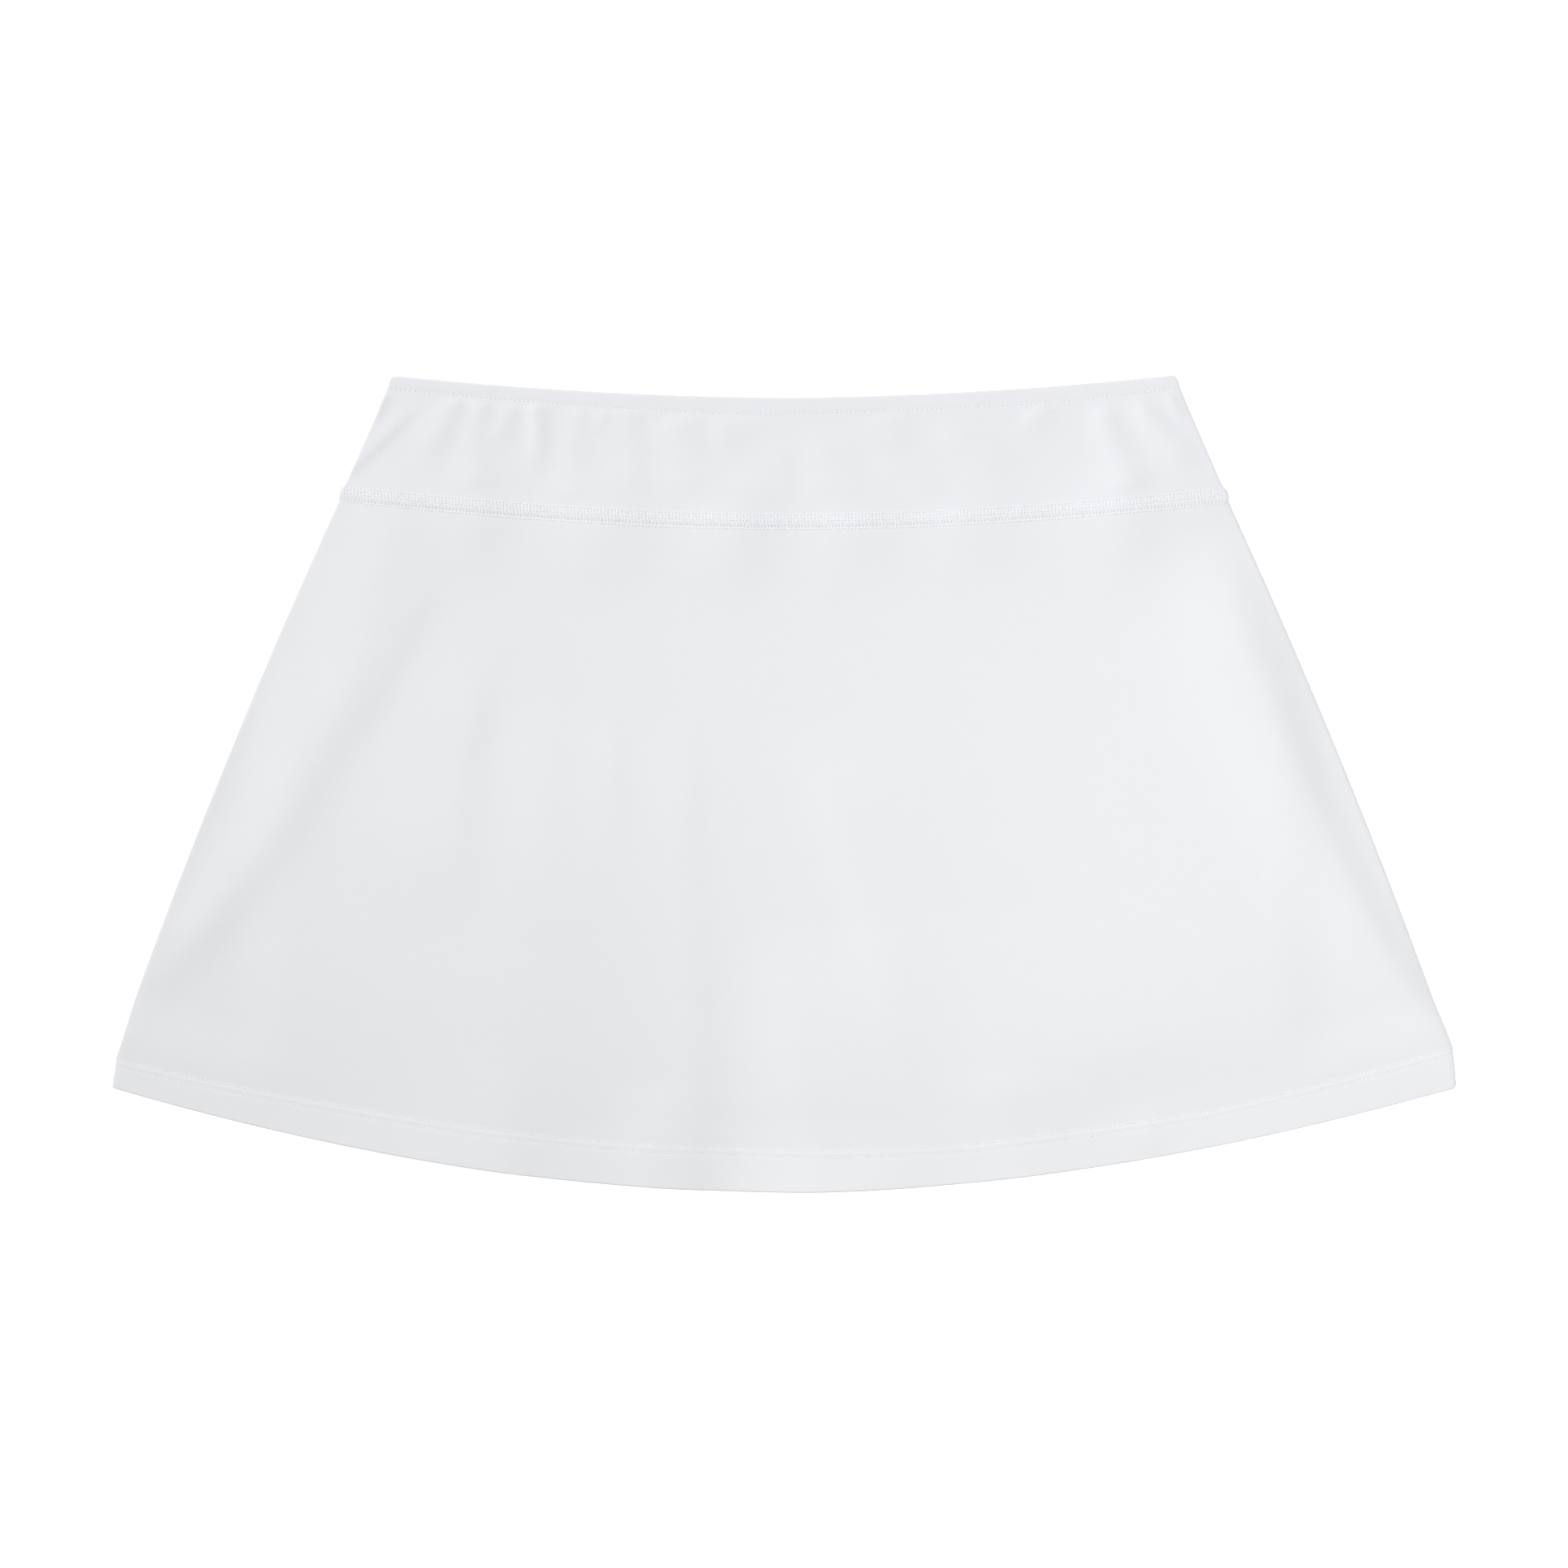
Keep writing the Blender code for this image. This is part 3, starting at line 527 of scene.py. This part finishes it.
# Where the front meets the back at the side edges
def yoke_join(from_edge):
    return between(YOKE_BACK, "from_edge", "top", from_edge) + GAP


def skirt_join(above_hem):
    return CLOTH + SKIRT_GAP + (HEM_WALL - CLOTH) * hem_fold(above_hem)


# How far a row strays down its panel, so that the stitches come to their true, uneven places
def yoke_shift(x, from_edge):
    move = between(WAIST_ROW, "x", "depth", x) - ROW_NOMINAL
    pull = smooth(from_edge / YOKE_PULL_FULL) * smooth((YOKE_PULL_END - from_edge) / YOKE_PULL_EASE)
    return move * pull


def skirt_shift(x, above_hem):
    move = between(HEM_ROWS, "x", "above", x) - TWIN_NOMINAL
    pull = smooth(above_hem / HEM_PULL_FULL) * smooth((HEM_PULL_END - above_hem) / HEM_PULL_EASE)
    return -move * pull


# Panels
class Panel:
    """The yoke or the skirt, front and back: its outline, its rolled side edges and its sections.

    A row of it is known by its measure, which is its distance from the waist edge on the yoke, and its
    distance above the hem on the skirt.
    """

    def __init__(self, top, bottom, half_width, top_half, bottom_half, roll, length, from_hem, shift, join,
                 front_heights, back_heights):
        self.top, self.bottom, self.half_width = top, bottom, half_width
        self.top_half, self.bottom_half = top_half, bottom_half
        self.roll, self.length, self.from_hem = roll, length, from_hem
        self.shift, self.join = shift, join
        self.front_heights, self.back_heights = front_heights, back_heights
        self.top_y = float(top(np.array(top_half)))
        self.bottom_y = float(bottom(np.array(bottom_half)))

    def down(self, measure):
        """How far down the panel a row lies, from 0 at the top edge to 1 at the bottom edge."""
        from_top = self.length - measure if self.from_hem else measure
        return from_top / self.length

    def half(self, down):
        return self.half_width((1 - down) * self.top_y + down * self.bottom_y)

    def y(self, x, down, strayed=0.0):
        """y of the points x of a row that strays down the panel by a distance."""
        share = x / self.half(down)
        moved = down + strayed / self.length
        top = self.top(share * self.top_half)
        return (1 - moved) * top + moved * self.bottom(share * self.bottom_half)


SKIRT_LENGTH = float(skirt_top(0.0)) - HEM_Y
YOKE = Panel(
    top=waist_edge, bottom=yoke_bottom, half_width=yoke_half_width,
    top_half=YOKE_SIDE[0]["half_width"], bottom_half=YOKE_SIDE[-1]["half_width"],
    roll=YOKE_ROLL, length=YOKE_LENGTH, from_hem=False, shift=yoke_shift, join=yoke_join,
    front_heights=yoke_front_heights, back_heights=yoke_back_heights,
)
SKIRT = Panel(
    top=skirt_top, bottom=hem_edge, half_width=skirt_half_width,
    top_half=YOKE_SIDE[-1]["half_width"], bottom_half=HEM_SIDE[-1]["half_width"],
    roll=SKIRT_ROLL, length=SKIRT_LENGTH, from_hem=True, shift=skirt_shift, join=skirt_join,
    front_heights=skirt_front_heights, back_heights=skirt_back_heights,
)

# Measures of the rows: runs of rows a step apart, closest at edges and stitches
YOKE_RUNS = table(
    "start end step",
    (0.0000, 0.0003, 0.0001),
    (0.0003, 0.0015, 0.0003),
    (0.0015, 0.0055, 0.0008),
    (0.0055, 0.0085, 0.00025),
    (0.0085, 0.0510, 0.0009),
    (0.0510, 0.0532, 0.0003),
    (0.0532, 0.0564, 0.0008),
    (0.0564, 0.0572, 0.0004),
    (0.0572, 0.0575, 0.0001),
)
SKIRT_TOP_RUN = 0.0040
SKIRT_RUNS = table(
    "start end step",
    (0.0000, 0.0003, 0.0001),
    (0.0003, 0.0015, 0.0003),
    (0.0015, 0.0125, 0.0018),
    (0.0125, 0.0205, 0.0003),
    (0.0205, 0.0400, 0.0016),
    (0.0400, SKIRT_LENGTH - SKIRT_TOP_RUN, 0.0026),
    (SKIRT_LENGTH - SKIRT_TOP_RUN, SKIRT_LENGTH, 0.0008),
)
YOKE_COLUMNS, YOKE_BACK_COLUMNS = 380, 160
SKIRT_COLUMNS, SKIRT_BACK_COLUMNS = 290, 150


def row_measures(runs):
    parts = []
    for run in runs:
        count = max(1, round((run["end"] - run["start"]) / run["step"]))
        parts.append(np.linspace(run["start"], run["end"], count, endpoint=False))
    return np.concatenate(parts + [[runs[-1]["end"]]])


def columns_across(count):
    """Columns across a panel: share of its half width, and how far round the rolled edge, up and inwards."""
    turn = np.linspace(0.0, math.pi / 2, ROLL_STEPS)[:-1]
    share = np.concatenate([-np.ones(len(turn)), np.linspace(-1, 1, count), np.ones(len(turn))])
    angle = np.concatenate([turn, np.full(count, math.pi / 2), turn[::-1]])
    return share, np.sin(angle), 1 - np.cos(angle)


def points_at(x, y, z):
    """Points from their coordinates, stretched to one shape."""
    return np.stack(np.broadcast_arrays(x, y, z), -1)


def add_piece(name, mesh, material):
    mesh.materials.append(material)
    thing = bpy.data.objects.new(name, mesh)
    bpy.context.scene.collection.objects.link(thing)
    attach(thing, "root")
    return thing


def piece_of_points(name, points, faces, material):
    """A smooth piece from an array of points and an array of faces."""
    mesh = bpy.data.meshes.new(name)
    mesh.vertices.add(len(points))
    mesh.vertices.foreach_set("co", np.asarray(points, np.float32).ravel())
    mesh.loops.add(faces.size)
    mesh.loops.foreach_set("vertex_index", np.asarray(faces, np.int32).ravel())
    mesh.polygons.add(len(faces))
    mesh.polygons.foreach_set("loop_start", np.arange(0, faces.size, faces.shape[1], dtype=np.int32))
    mesh.update(calc_edges=True)
    mesh.validate()
    mesh.shade_smooth()
    return add_piece(name, mesh, material)


def shell(name, upper, lower, material, doubled):
    """A thin closed shell between two grids of points with the same rows and columns. doubled says for each
    row how much of a second layer backs the cloth there."""
    rows, columns = upper.shape[:2]
    layer = rows * columns
    index = np.arange(layer).reshape(rows, columns)

    def quads(grid):
        return np.stack([grid[:-1, :-1], grid[1:, :-1], grid[1:, 1:], grid[:-1, 1:]], -1).reshape(-1, 4)

    border = np.concatenate([index[:-1, 0], index[-1, :-1], index[:0:-1, -1], index[0, :0:-1]])
    onward = np.roll(border, -1)
    rim = np.stack([onward, border, border + layer, onward + layer], -1)
    faces = np.concatenate([quads(index), quads(index + layer)[:, ::-1], rim])
    points = np.concatenate([upper.reshape(-1, 3), lower.reshape(-1, 3)])
    thing = piece_of_points(name, points, faces, material)
    backed = thing.data.attributes.new("doubled", "FLOAT", "POINT")
    backed.data.foreach_set("value", np.tile(np.repeat(doubled, columns), 2).astype(np.float32))
    return thing


def front_panel(name, panel, measures, count, material, doubled):
    """The front of the yoke or the skirt, rolled down at its sides to where it joins the back."""
    share, up, inward = columns_across(count)
    measure = measures[:, None]
    down = panel.down(measure)
    half = panel.half(down)
    x = share * (half - panel.roll * inward)
    inner_x = share * (half - CLOTH - (panel.roll - CLOTH) * inward)
    y = panel.y(x, down, panel.shift(x, measure))
    top, under = panel.front_heights(x, y, measure)
    join = panel.join(measure)
    outside = points_at(x, y, join + (top - join) * up)
    inside = points_at(inner_x, y, join + (under - join) * up)
    return shell(name, outside, inside, material, doubled)


def back_panel(name, panel, measures, count, material, doubled):
    """The back of the yoke or the skirt, which lies on the floor, with round side edges."""
    share, _, inward = columns_across(count)
    measure = measures[:, None]
    down = panel.down(measure)
    half = panel.half(down)
    x = share * (half - panel.roll * inward)
    y = panel.y(x, down, panel.shift(x, measure))
    top, under = panel.back_heights(x, y, measure)
    under = top - (top - under) * round_share(half - np.abs(x), SIDE_ROUND)
    return shell(name, points_at(x, y, top), points_at(x, y, under), material, doubled)


# Materials
WALE, COURSE = 0.00062, 0.00050  # width and height of a knit stitch
LEG_SHARE = 0.35  # of a stitch's slanting legs in the relief, beside the ridge between them
FUZZ_SHARE = 0.9  # of the fuzz in it
CLOUD_SPREAD = 0.003  # half the range of the colour's soft unevenness
DOUBLED_WHITER = 1.026  # two layers let less light through than one
TWIST_PAINTED_SHADE = 0.985  # painted shade: the hollows between a thread's strands are painted darker
RAMP_START, RAMP_END = 0.3, 0.7


def new_material(name, roughness, sheen, sheen_roughness, specular):
    material = bpy.data.materials.new(name)
    material.use_nodes = True
    tree = material.node_tree
    shader = tree.nodes["Principled BSDF"]
    shader.inputs["Roughness"].default_value = roughness
    shader.inputs["Sheen Weight"].default_value = sheen
    shader.inputs["Sheen Roughness"].default_value = sheen_roughness
    shader.inputs["Specular IOR Level"].default_value = specular
    return material, tree, shader


def maths(tree, kind, a, b=None):
    node = tree.nodes.new("ShaderNodeMath")
    node.operation = kind
    for socket, value in zip(node.inputs, (a, b)):
        if value is None:
            continue
        if isinstance(value, (int, float)):
            socket.default_value = value
        else:
            tree.links.new(value, socket)
    return node.outputs[0]


def noise(tree, where, scale, detail, roughness=0.5):
    node = tree.nodes.new("ShaderNodeTexNoise")
    node.inputs["Scale"].default_value = scale
    node.inputs["Detail"].default_value = detail
    node.inputs["Roughness"].default_value = roughness
    tree.links.new(where, node.inputs["Vector"])
    return node.outputs["Fac"]


def ramp(tree, factor, low, high):
    node = tree.nodes.new("ShaderNodeValToRGB")
    start, end = node.color_ramp.elements[0], node.color_ramp.elements[1]
    start.position, start.color = RAMP_START, low
    end.position, end.color = RAMP_END, high
    tree.links.new(factor, node.inputs["Fac"])
    return node.outputs["Color"]


def add_bump(tree, shader, height, strength, distance):
    node = tree.nodes.new("ShaderNodeBump")
    node.inputs["Strength"].default_value = strength
    node.inputs["Distance"].default_value = distance
    tree.links.new(height, node.inputs["Height"])
    tree.links.new(node.outputs["Normal"], shader.inputs["Normal"])


def scaled(tone, factor):
    return [channel * factor for channel in tone[:3]] + [1.0]


def knit_relief(tree, where):
    """Rows of small V stitches, with some fuzz."""
    split = tree.nodes.new("ShaderNodeSeparateXYZ")
    tree.links.new(where, split.inputs[0])
    across = maths(tree, "MULTIPLY", split.outputs["X"], 1 / WALE)
    fold = maths(tree, "PINGPONG", across, 0.5)
    rise = maths(tree, "MULTIPLY", split.outputs["Y"], 1 / COURSE)
    legs = maths(tree, "ADD", rise, fold)
    legs = maths(tree, "SINE", maths(tree, "MULTIPLY", legs, math.tau))
    ridge = maths(tree, "SINE", maths(tree, "MULTIPLY", fold, math.tau))
    knit = maths(tree, "ADD", maths(tree, "MULTIPLY", legs, LEG_SHARE), ridge)
    fuzz = noise(tree, where, scale=3500, detail=2)
    return maths(tree, "ADD", knit, maths(tree, "MULTIPLY", fuzz, FUZZ_SHARE))


def knit_material(name, tone):
    """Fine jersey: its stitches in the bump, a slightly uneven colour, and whiter where it is doubled."""
    material, tree, shader = new_material(
        name, roughness=0.82, sheen=0.12, sheen_roughness=0.5, specular=0.25
    )
    where = tree.nodes.new("ShaderNodeTexCoord").outputs["Object"]
    add_bump(tree, shader, knit_relief(tree, where), strength=0.35, distance=0.00006)
    cloud = noise(tree, where, scale=60, detail=3, roughness=0.6)
    shades = []
    for whiter in (1.0, DOUBLED_WHITER):
        low = scaled(tone, (1 - CLOUD_SPREAD) * whiter)
        high = scaled(tone, (1 + CLOUD_SPREAD) * whiter)
        shades.append(ramp(tree, cloud, low, high))
    backed = tree.nodes.new("ShaderNodeAttribute")
    backed.attribute_name = "doubled"
    mix = tree.nodes.new("ShaderNodeMix")
    mix.data_type = "RGBA"
    tree.links.new(backed.outputs["Fac"], mix.inputs["Factor"])
    tree.links.new(shades[0], mix.inputs["A"])
    tree.links.new(shades[1], mix.inputs["B"])
    tree.links.new(mix.outputs["Result"], shader.inputs["Base Color"])
    return material


def thread_material(name, tone):
    material, tree, shader = new_material(
        name, roughness=0.55, sheen=0.15, sheen_roughness=0.4, specular=0.4
    )
    where = tree.nodes.new("ShaderNodeTexCoord").outputs["Object"]
    twist = noise(tree, where, scale=6000, detail=1)
    add_bump(tree, shader, twist, strength=0.3, distance=0.00003)
    # painted shade: the thread's colour is darker where its twist relief is low, in the hollows between its
    # strands
    hollow_shade = ramp(tree, twist, scaled(tone, TWIST_PAINTED_SHADE), tone)
    tree.links.new(hollow_shade, shader.inputs["Base Color"])
    return material


KNIT = knit_material("knit_white", tone=(0.784, 0.790, 0.809, 1.0))
YOKE_KNIT = knit_material("knit_yoke", tone=(0.783, 0.788, 0.812, 1.0))
SHORTS_KNIT = knit_material("knit_shorts", tone=(0.765, 0.768, 0.780, 1.0))
THREAD = thread_material("thread_white", tone=(0.90, 0.90, 0.925, 1.0))


# Thread
def tubes(name, paths, radius):
    """Many short threads as one mesh. paths is strands x points x 3, radius one value for each point."""
    strands, points = paths.shape[:2]
    along = np.gradient(paths, axis=1)
    along /= np.linalg.norm(along, axis=-1, keepdims=True)
    side = np.cross(along, [0.0, 0.0, 1.0])
    side /= np.linalg.norm(side, axis=-1, keepdims=True) + 1e-12
    lift = np.cross(side, along)
    ring = np.arange(THREAD_SIDES) * math.tau / THREAD_SIDES
    around = side[:, :, None] * np.cos(ring)[:, None] + lift[:, :, None] * np.sin(ring)[:, None]
    grid = paths[:, :, None] + around * radius[:, None, None]
    index = np.arange(strands * points * THREAD_SIDES).reshape(strands, points, THREAD_SIDES)
    turned = np.roll(index, -1, axis=2)
    wall = np.stack([index[:, :-1], turned[:, :-1], turned[:, 1:], index[:, 1:]], -1).reshape(-1, 4)
    # each end is closed with two quads over its six corners
    first, last = index[:, 0], index[:, -1]
    caps = [first[:, [3, 2, 1, 0]], first[:, [5, 4, 3, 0]], last[:, [0, 1, 2, 3]], last[:, [0, 3, 4, 5]]]
    return piece_of_points(name, grid.reshape(-1, 3), np.concatenate([wall] + caps), THREAD)


def rolled_points(x, y, z, half, roll, join):
    """Points on the outside of a front, rolled down near its side edges, and the way out from them."""
    lean = 1 - np.clip((half - np.abs(x)) / roll, 0.0, 1.0)
    up = np.sqrt(1 - lean**2)
    return points_at(x, y, join + (z - join) * up), points_at(np.sign(x) * lean, 0.0, up)


def flat_points(x, y, z):
    """The same on the outside of a back, where the way out is down."""
    return points_at(x, y, z), np.array([0.0, 0.0, -1.0])


def row_points(panel, front, x, measure):
    """Points along a row of a panel, on its outside, and the way out from them."""
    down = panel.down(measure)
    y = panel.y(x, down, panel.shift(x, measure))
    if front:
        top, _ = panel.front_heights(x, y, measure)
        return rolled_points(x, y, top, panel.half(down), panel.roll, panel.join(measure))
    _, under = panel.back_heights(x, y, measure)
    return flat_points(x, y, under)


def seam_surface(x, offset, front):
    """Points along the flat seam, a distance above its line, and below its lip on the skirt's edge."""
    y = seam_line(x) + offset
    past_lip = smooth((yoke_bottom(x) + STEP_START - y) / STEP_EASE)
    above_lip = np.maximum(y - yoke_bottom(x), LIP_SHARE * LIP_ROUND)
    above_hem = np.full_like(x, SKIRT_LENGTH - UNDER_LIP)
    if front:
        band, _ = yoke_front_heights(x, y, YOKE_LENGTH - above_lip)
        skirt, _ = skirt_front_heights(x, y, above_hem)
    else:
        _, band = yoke_back_heights(x, y, YOKE_LENGTH - above_lip)
        _, skirt = skirt_back_heights(x, y, above_hem)
    z = band + (skirt - band) * past_lip
    if front:
        return rolled_points(x, y, z, yoke_half_width(y), YOKE_ROLL, yoke_join(YOKE_LENGTH))
    return flat_points(x, y, z)


def stitch_middles(reach, pitch, draw):
    """x of each stitch of a row from -reach to reach, a little unevenly spaced."""
    count = int(2 * reach / pitch)
    return (np.arange(count) - (count - 1) / 2) * pitch + draw.normal(0, UNEVEN_ALONG, count) * pitch


def stitch_row(name, panel, front, measure, stitch, seed):
    """A row of single stitches along a row of a panel, each a short thread that dips into the cloth."""
    draw = np.random.default_rng(seed)
    pitch, radius = stitch["pitch"], stitch["radius"]
    reach = float(panel.half(panel.down(measure))) - ROW_STOP
    middle = stitch_middles(reach, pitch, draw)
    x = middle[:, None] + np.linspace(-0.5, 0.5, len(STITCH_BOW)) * pitch * stitch["share"]
    points, way = row_points(panel, front, x, measure)
    points = points + way * (STITCH_BOW * radius - stitch["depth"])[:, None]
    points[..., 1] += draw.normal(0, UNEVEN_ASIDE, (len(middle), 1)) * pitch
    return tubes(name, points, STITCH_THICK * radius)


def seam_threads(side):
    """All threads of the flat seam on one side of the garment, as one mesh for each kind."""
    reach = float(yoke_half_width(seam_line(np.array(SEAM_END)))) - SEAM_STOP
    run = np.linspace(0, 1, SEAM_POINTS)
    from_middle = np.abs(2 * run - 1)
    made = []
    for number, kind in enumerate(SEAM_THREADS):
        draw = np.random.default_rng(SEAM_SEED + number)
        middle = stitch_middles(reach, SEAM_PITCH, draw)
        step = kind["step0"] + (kind["step1"] - kind["step0"]) * run
        offset = kind["offset0"] + (kind["offset1"] - kind["offset0"]) * run
        x = np.clip(middle[:, None] + step * SEAM_PITCH, -reach, reach)
        points, way = seam_surface(x, np.broadcast_to(offset, x.shape), side == "front")
        bow = kind["radius"] * (kind["bow"] - DIP * from_middle**DIP_CURVE)
        points = points + way * bow[:, None]
        thick = kind["radius"] * (1 - TAPER * from_middle**TAPER_CURVE)
        made.append(tubes(f"seam_{kind['name']}_{side}", points, thick))
    return made


def panel_stitches(side):
    """The yoke's threads and the twin hem rows on one side of the garment."""
    front = side == "front"
    seed = WAIST_SEEDS[side]
    waist = stitch_row(f"waist_row_{side}", YOKE, front, ROW_NOMINAL, WAIST_STITCH, seed)
    hems = []
    for number, row in enumerate((-TWIN_HALF, TWIN_HALF), start=1):
        name = f"hem_row_{number}_{side}"
        hems.append(stitch_row(name, SKIRT, front, TWIN_NOMINAL + row, HEM_STITCH, seed + number))
    return [waist] + seam_threads(side), hems


# Inner shorts
def make_shorts(name, level):
    """One half of the inner shorts: a flat outline with two legs, one layer thick."""
    top_x = np.linspace(-SHORTS_TOP_HALF, SHORTS_TOP_HALF, SHORTS_TOP_STEPS)
    outline = [(x, float(yoke_bottom(x)) - SHORTS_BELOW_SEAM) for x in top_x]
    outline += [(point["x"], point["y"]) for point in SHORTS_OUTLINE]
    outline += [(-point["x"], point["y"]) for point in reversed(SHORTS_OUTLINE[:-1])]
    mesh = bpy.data.meshes.new(name)
    bm = bmesh.new()
    face = bm.faces.new([bm.verts.new((x, y, level)) for x, y in outline])
    raised = bmesh.ops.extrude_face_region(bm, geom=[face])["geom"]
    moved = [item for item in raised if isinstance(item, bmesh.types.BMVert)]
    bmesh.ops.translate(bm, verts=moved, vec=(0.0, 0.0, CLOTH))
    bmesh.ops.triangulate(bm, faces=bm.faces)
    bmesh.ops.recalc_face_normals(bm, faces=bm.faces)
    bm.to_mesh(mesh)
    bm.free()
    x, y = np.array(outline).T
    area = abs(np.dot(x, np.roll(y, -1)) - np.dot(y, np.roll(x, -1))) / 2
    thing = add_piece(name, mesh, SHORTS_KNIT)
    return thing, (float(np.ptp(x)), float(np.ptp(y))), float(area)


# The cut of a panel
CUT_SAMPLES = 200


def panel_cut(panel, turned_in, edge):
    """Width, length and area of a panel's cut, with the allowance that is turned in along an edge."""
    down = np.linspace(0.0, 1.0, CUT_SAMPLES)[:, None]
    half = panel.half(down)
    x = np.linspace(-1.0, 1.0, CUT_SAMPLES)[None] * half
    y = panel.y(x, down)
    across = (x[1:, 1:] + x[:-1, 1:] - x[1:, :-1] - x[:-1, :-1]) / 2
    length = (y[:-1, 1:] + y[:-1, :-1] - y[1:, 1:] - y[1:, :-1]) / 2
    area = float((across * length).sum()) + edge * turned_in
    return (float(2 * half.max()), float(np.ptp(y)) + turned_in), area


# The garment
YOKE_MEASURES = row_measures(YOKE_RUNS)
SKIRT_MEASURES = row_measures(SKIRT_RUNS)[::-1]
YOKE_DOUBLED = np.zeros_like(YOKE_MEASURES)  # the yoke's own tone serves for its doubled cloth too
SKIRT_DOUBLED = hem_fold(SKIRT_MEASURES, DOUBLED_EASE)
yoke_front = front_panel("yoke_front_cloth", YOKE, YOKE_MEASURES, YOKE_COLUMNS, YOKE_KNIT, YOKE_DOUBLED)
yoke_back = back_panel("yoke_back_cloth", YOKE, YOKE_MEASURES, YOKE_BACK_COLUMNS, YOKE_KNIT, YOKE_DOUBLED)
skirt_front = front_panel("skirt_front_cloth", SKIRT, SKIRT_MEASURES, SKIRT_COLUMNS, KNIT, SKIRT_DOUBLED)
skirt_back = back_panel("skirt_back_cloth", SKIRT, SKIRT_MEASURES, SKIRT_BACK_COLUMNS, KNIT, SKIRT_DOUBLED)
shorts_front, shorts_flat, shorts_area = make_shorts("shorts_front_cloth", SHORTS_FRONT_Z)
shorts_back, _, _ = make_shorts("shorts_back_cloth", SHORTS_BACK_Z)
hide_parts("yoke_front")
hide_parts("yoke_back")
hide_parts("skirt_front")
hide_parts("skirt_back")
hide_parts("shorts_front")
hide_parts("shorts_back")
front_yoke_threads, front_hem_threads = panel_stitches("front")
back_yoke_threads, back_hem_threads = panel_stitches("back")

# Floor, camera and lights
WHITE = (1.0, 1.0, 1.0, 1.0)
FLOOR_HALF, FLOOR_LEVEL = 6.0, -0.0002  # just below the cloth that rests on it
FLOOR_TONE, FLOOR_GLOW = (0.97, 0.97, 0.97, 1.0), 0.70
PHOTO_PIXELS, PIXEL = 1932, 0.00036  # width of the photograph, and the real size of one of its pixels
LENS, SENSOR = 100.0, 36.0
CLIP_START, CLIP_END = 0.05, 20.0
CAMERA_X, CAMERA_Y = 0.0002, -0.0001
FOCUS_Z = 0.003  # the height at which a pixel has that size
LAMPS = table(
    "name place power size",
    ("key", (-1.406, 0.948, 1.060), 27.1, 1.2),
    ("top_box", (0.303, -0.052, 0.640), 2.21, 0.35),
)
WORLD_STRENGTH = 0.359


def add_floor():
    half = FLOOR_HALF
    mesh = bpy.data.meshes.new("floor")
    corners = [(x, y, FLOOR_LEVEL) for x, y in ((-half, -half), (half, -half), (half, half), (-half, half))]
    mesh.from_pydata(corners, [], [(0, 1, 2, 3)])
    material, _, shader = new_material(
        "floor_paper", roughness=1.0, sheen=0.0, sheen_roughness=0.5, specular=0.0
    )
    shader.inputs["Base Color"].default_value = FLOOR_TONE
    shader.inputs["Emission Color"].default_value = WHITE
    shader.inputs["Emission Strength"].default_value = FLOOR_GLOW
    mesh.materials.append(material)
    floor = bpy.data.objects.new("floor", mesh)
    bpy.context.scene.collection.objects.link(floor)
    return floor


def add_camera():
    """A camera straight above the garment, which frames it as the photograph does."""
    data = bpy.data.cameras.new("camera")
    data.lens, data.sensor_width = LENS, SENSOR
    data.clip_start, data.clip_end = CLIP_START, CLIP_END
    camera = bpy.data.objects.new("camera", data)
    camera.location = (CAMERA_X, CAMERA_Y, PHOTO_PIXELS * PIXEL * LENS / SENSOR + FOCUS_Z)
    bpy.context.scene.collection.objects.link(camera)
    bpy.context.scene.camera = camera


def add_lamp(name, place, power, size):
    """A round lamp that points at the origin."""
    light = bpy.data.lights.new(name, "AREA")
    light.energy, light.shape, light.size = power, "DISK", size
    lamp = bpy.data.objects.new(name, light)
    lamp.location = place
    lamp.rotation_mode = "QUATERNION"
    lamp.rotation_quaternion = Vector(place).to_track_quat("Z", "Y")
    lamp.visible_camera = False
    bpy.context.scene.collection.objects.link(lamp)


def add_world():
    world = bpy.data.worlds.new("studio")
    world.use_nodes = True
    background = world.node_tree.nodes["Background"]
    background.inputs["Color"].default_value = WHITE
    background.inputs["Strength"].default_value = WORLD_STRENGTH
    bpy.context.scene.world = world


floor = add_floor()
add_camera()
for lamp in LAMPS:
    add_lamp(**lamp)
add_world()
bpy.context.scene.view_settings.view_transform = "Standard"
bpy.context.scene.view_settings.look = "None"

# The cloth as it was cut
yoke_flat, yoke_area = panel_cut(YOKE, WAIST_TURN_IN, 2 * YOKE.top_half)
skirt_flat, skirt_area = panel_cut(SKIRT, HEM_DEPTH, 2 * SKIRT.bottom_half)
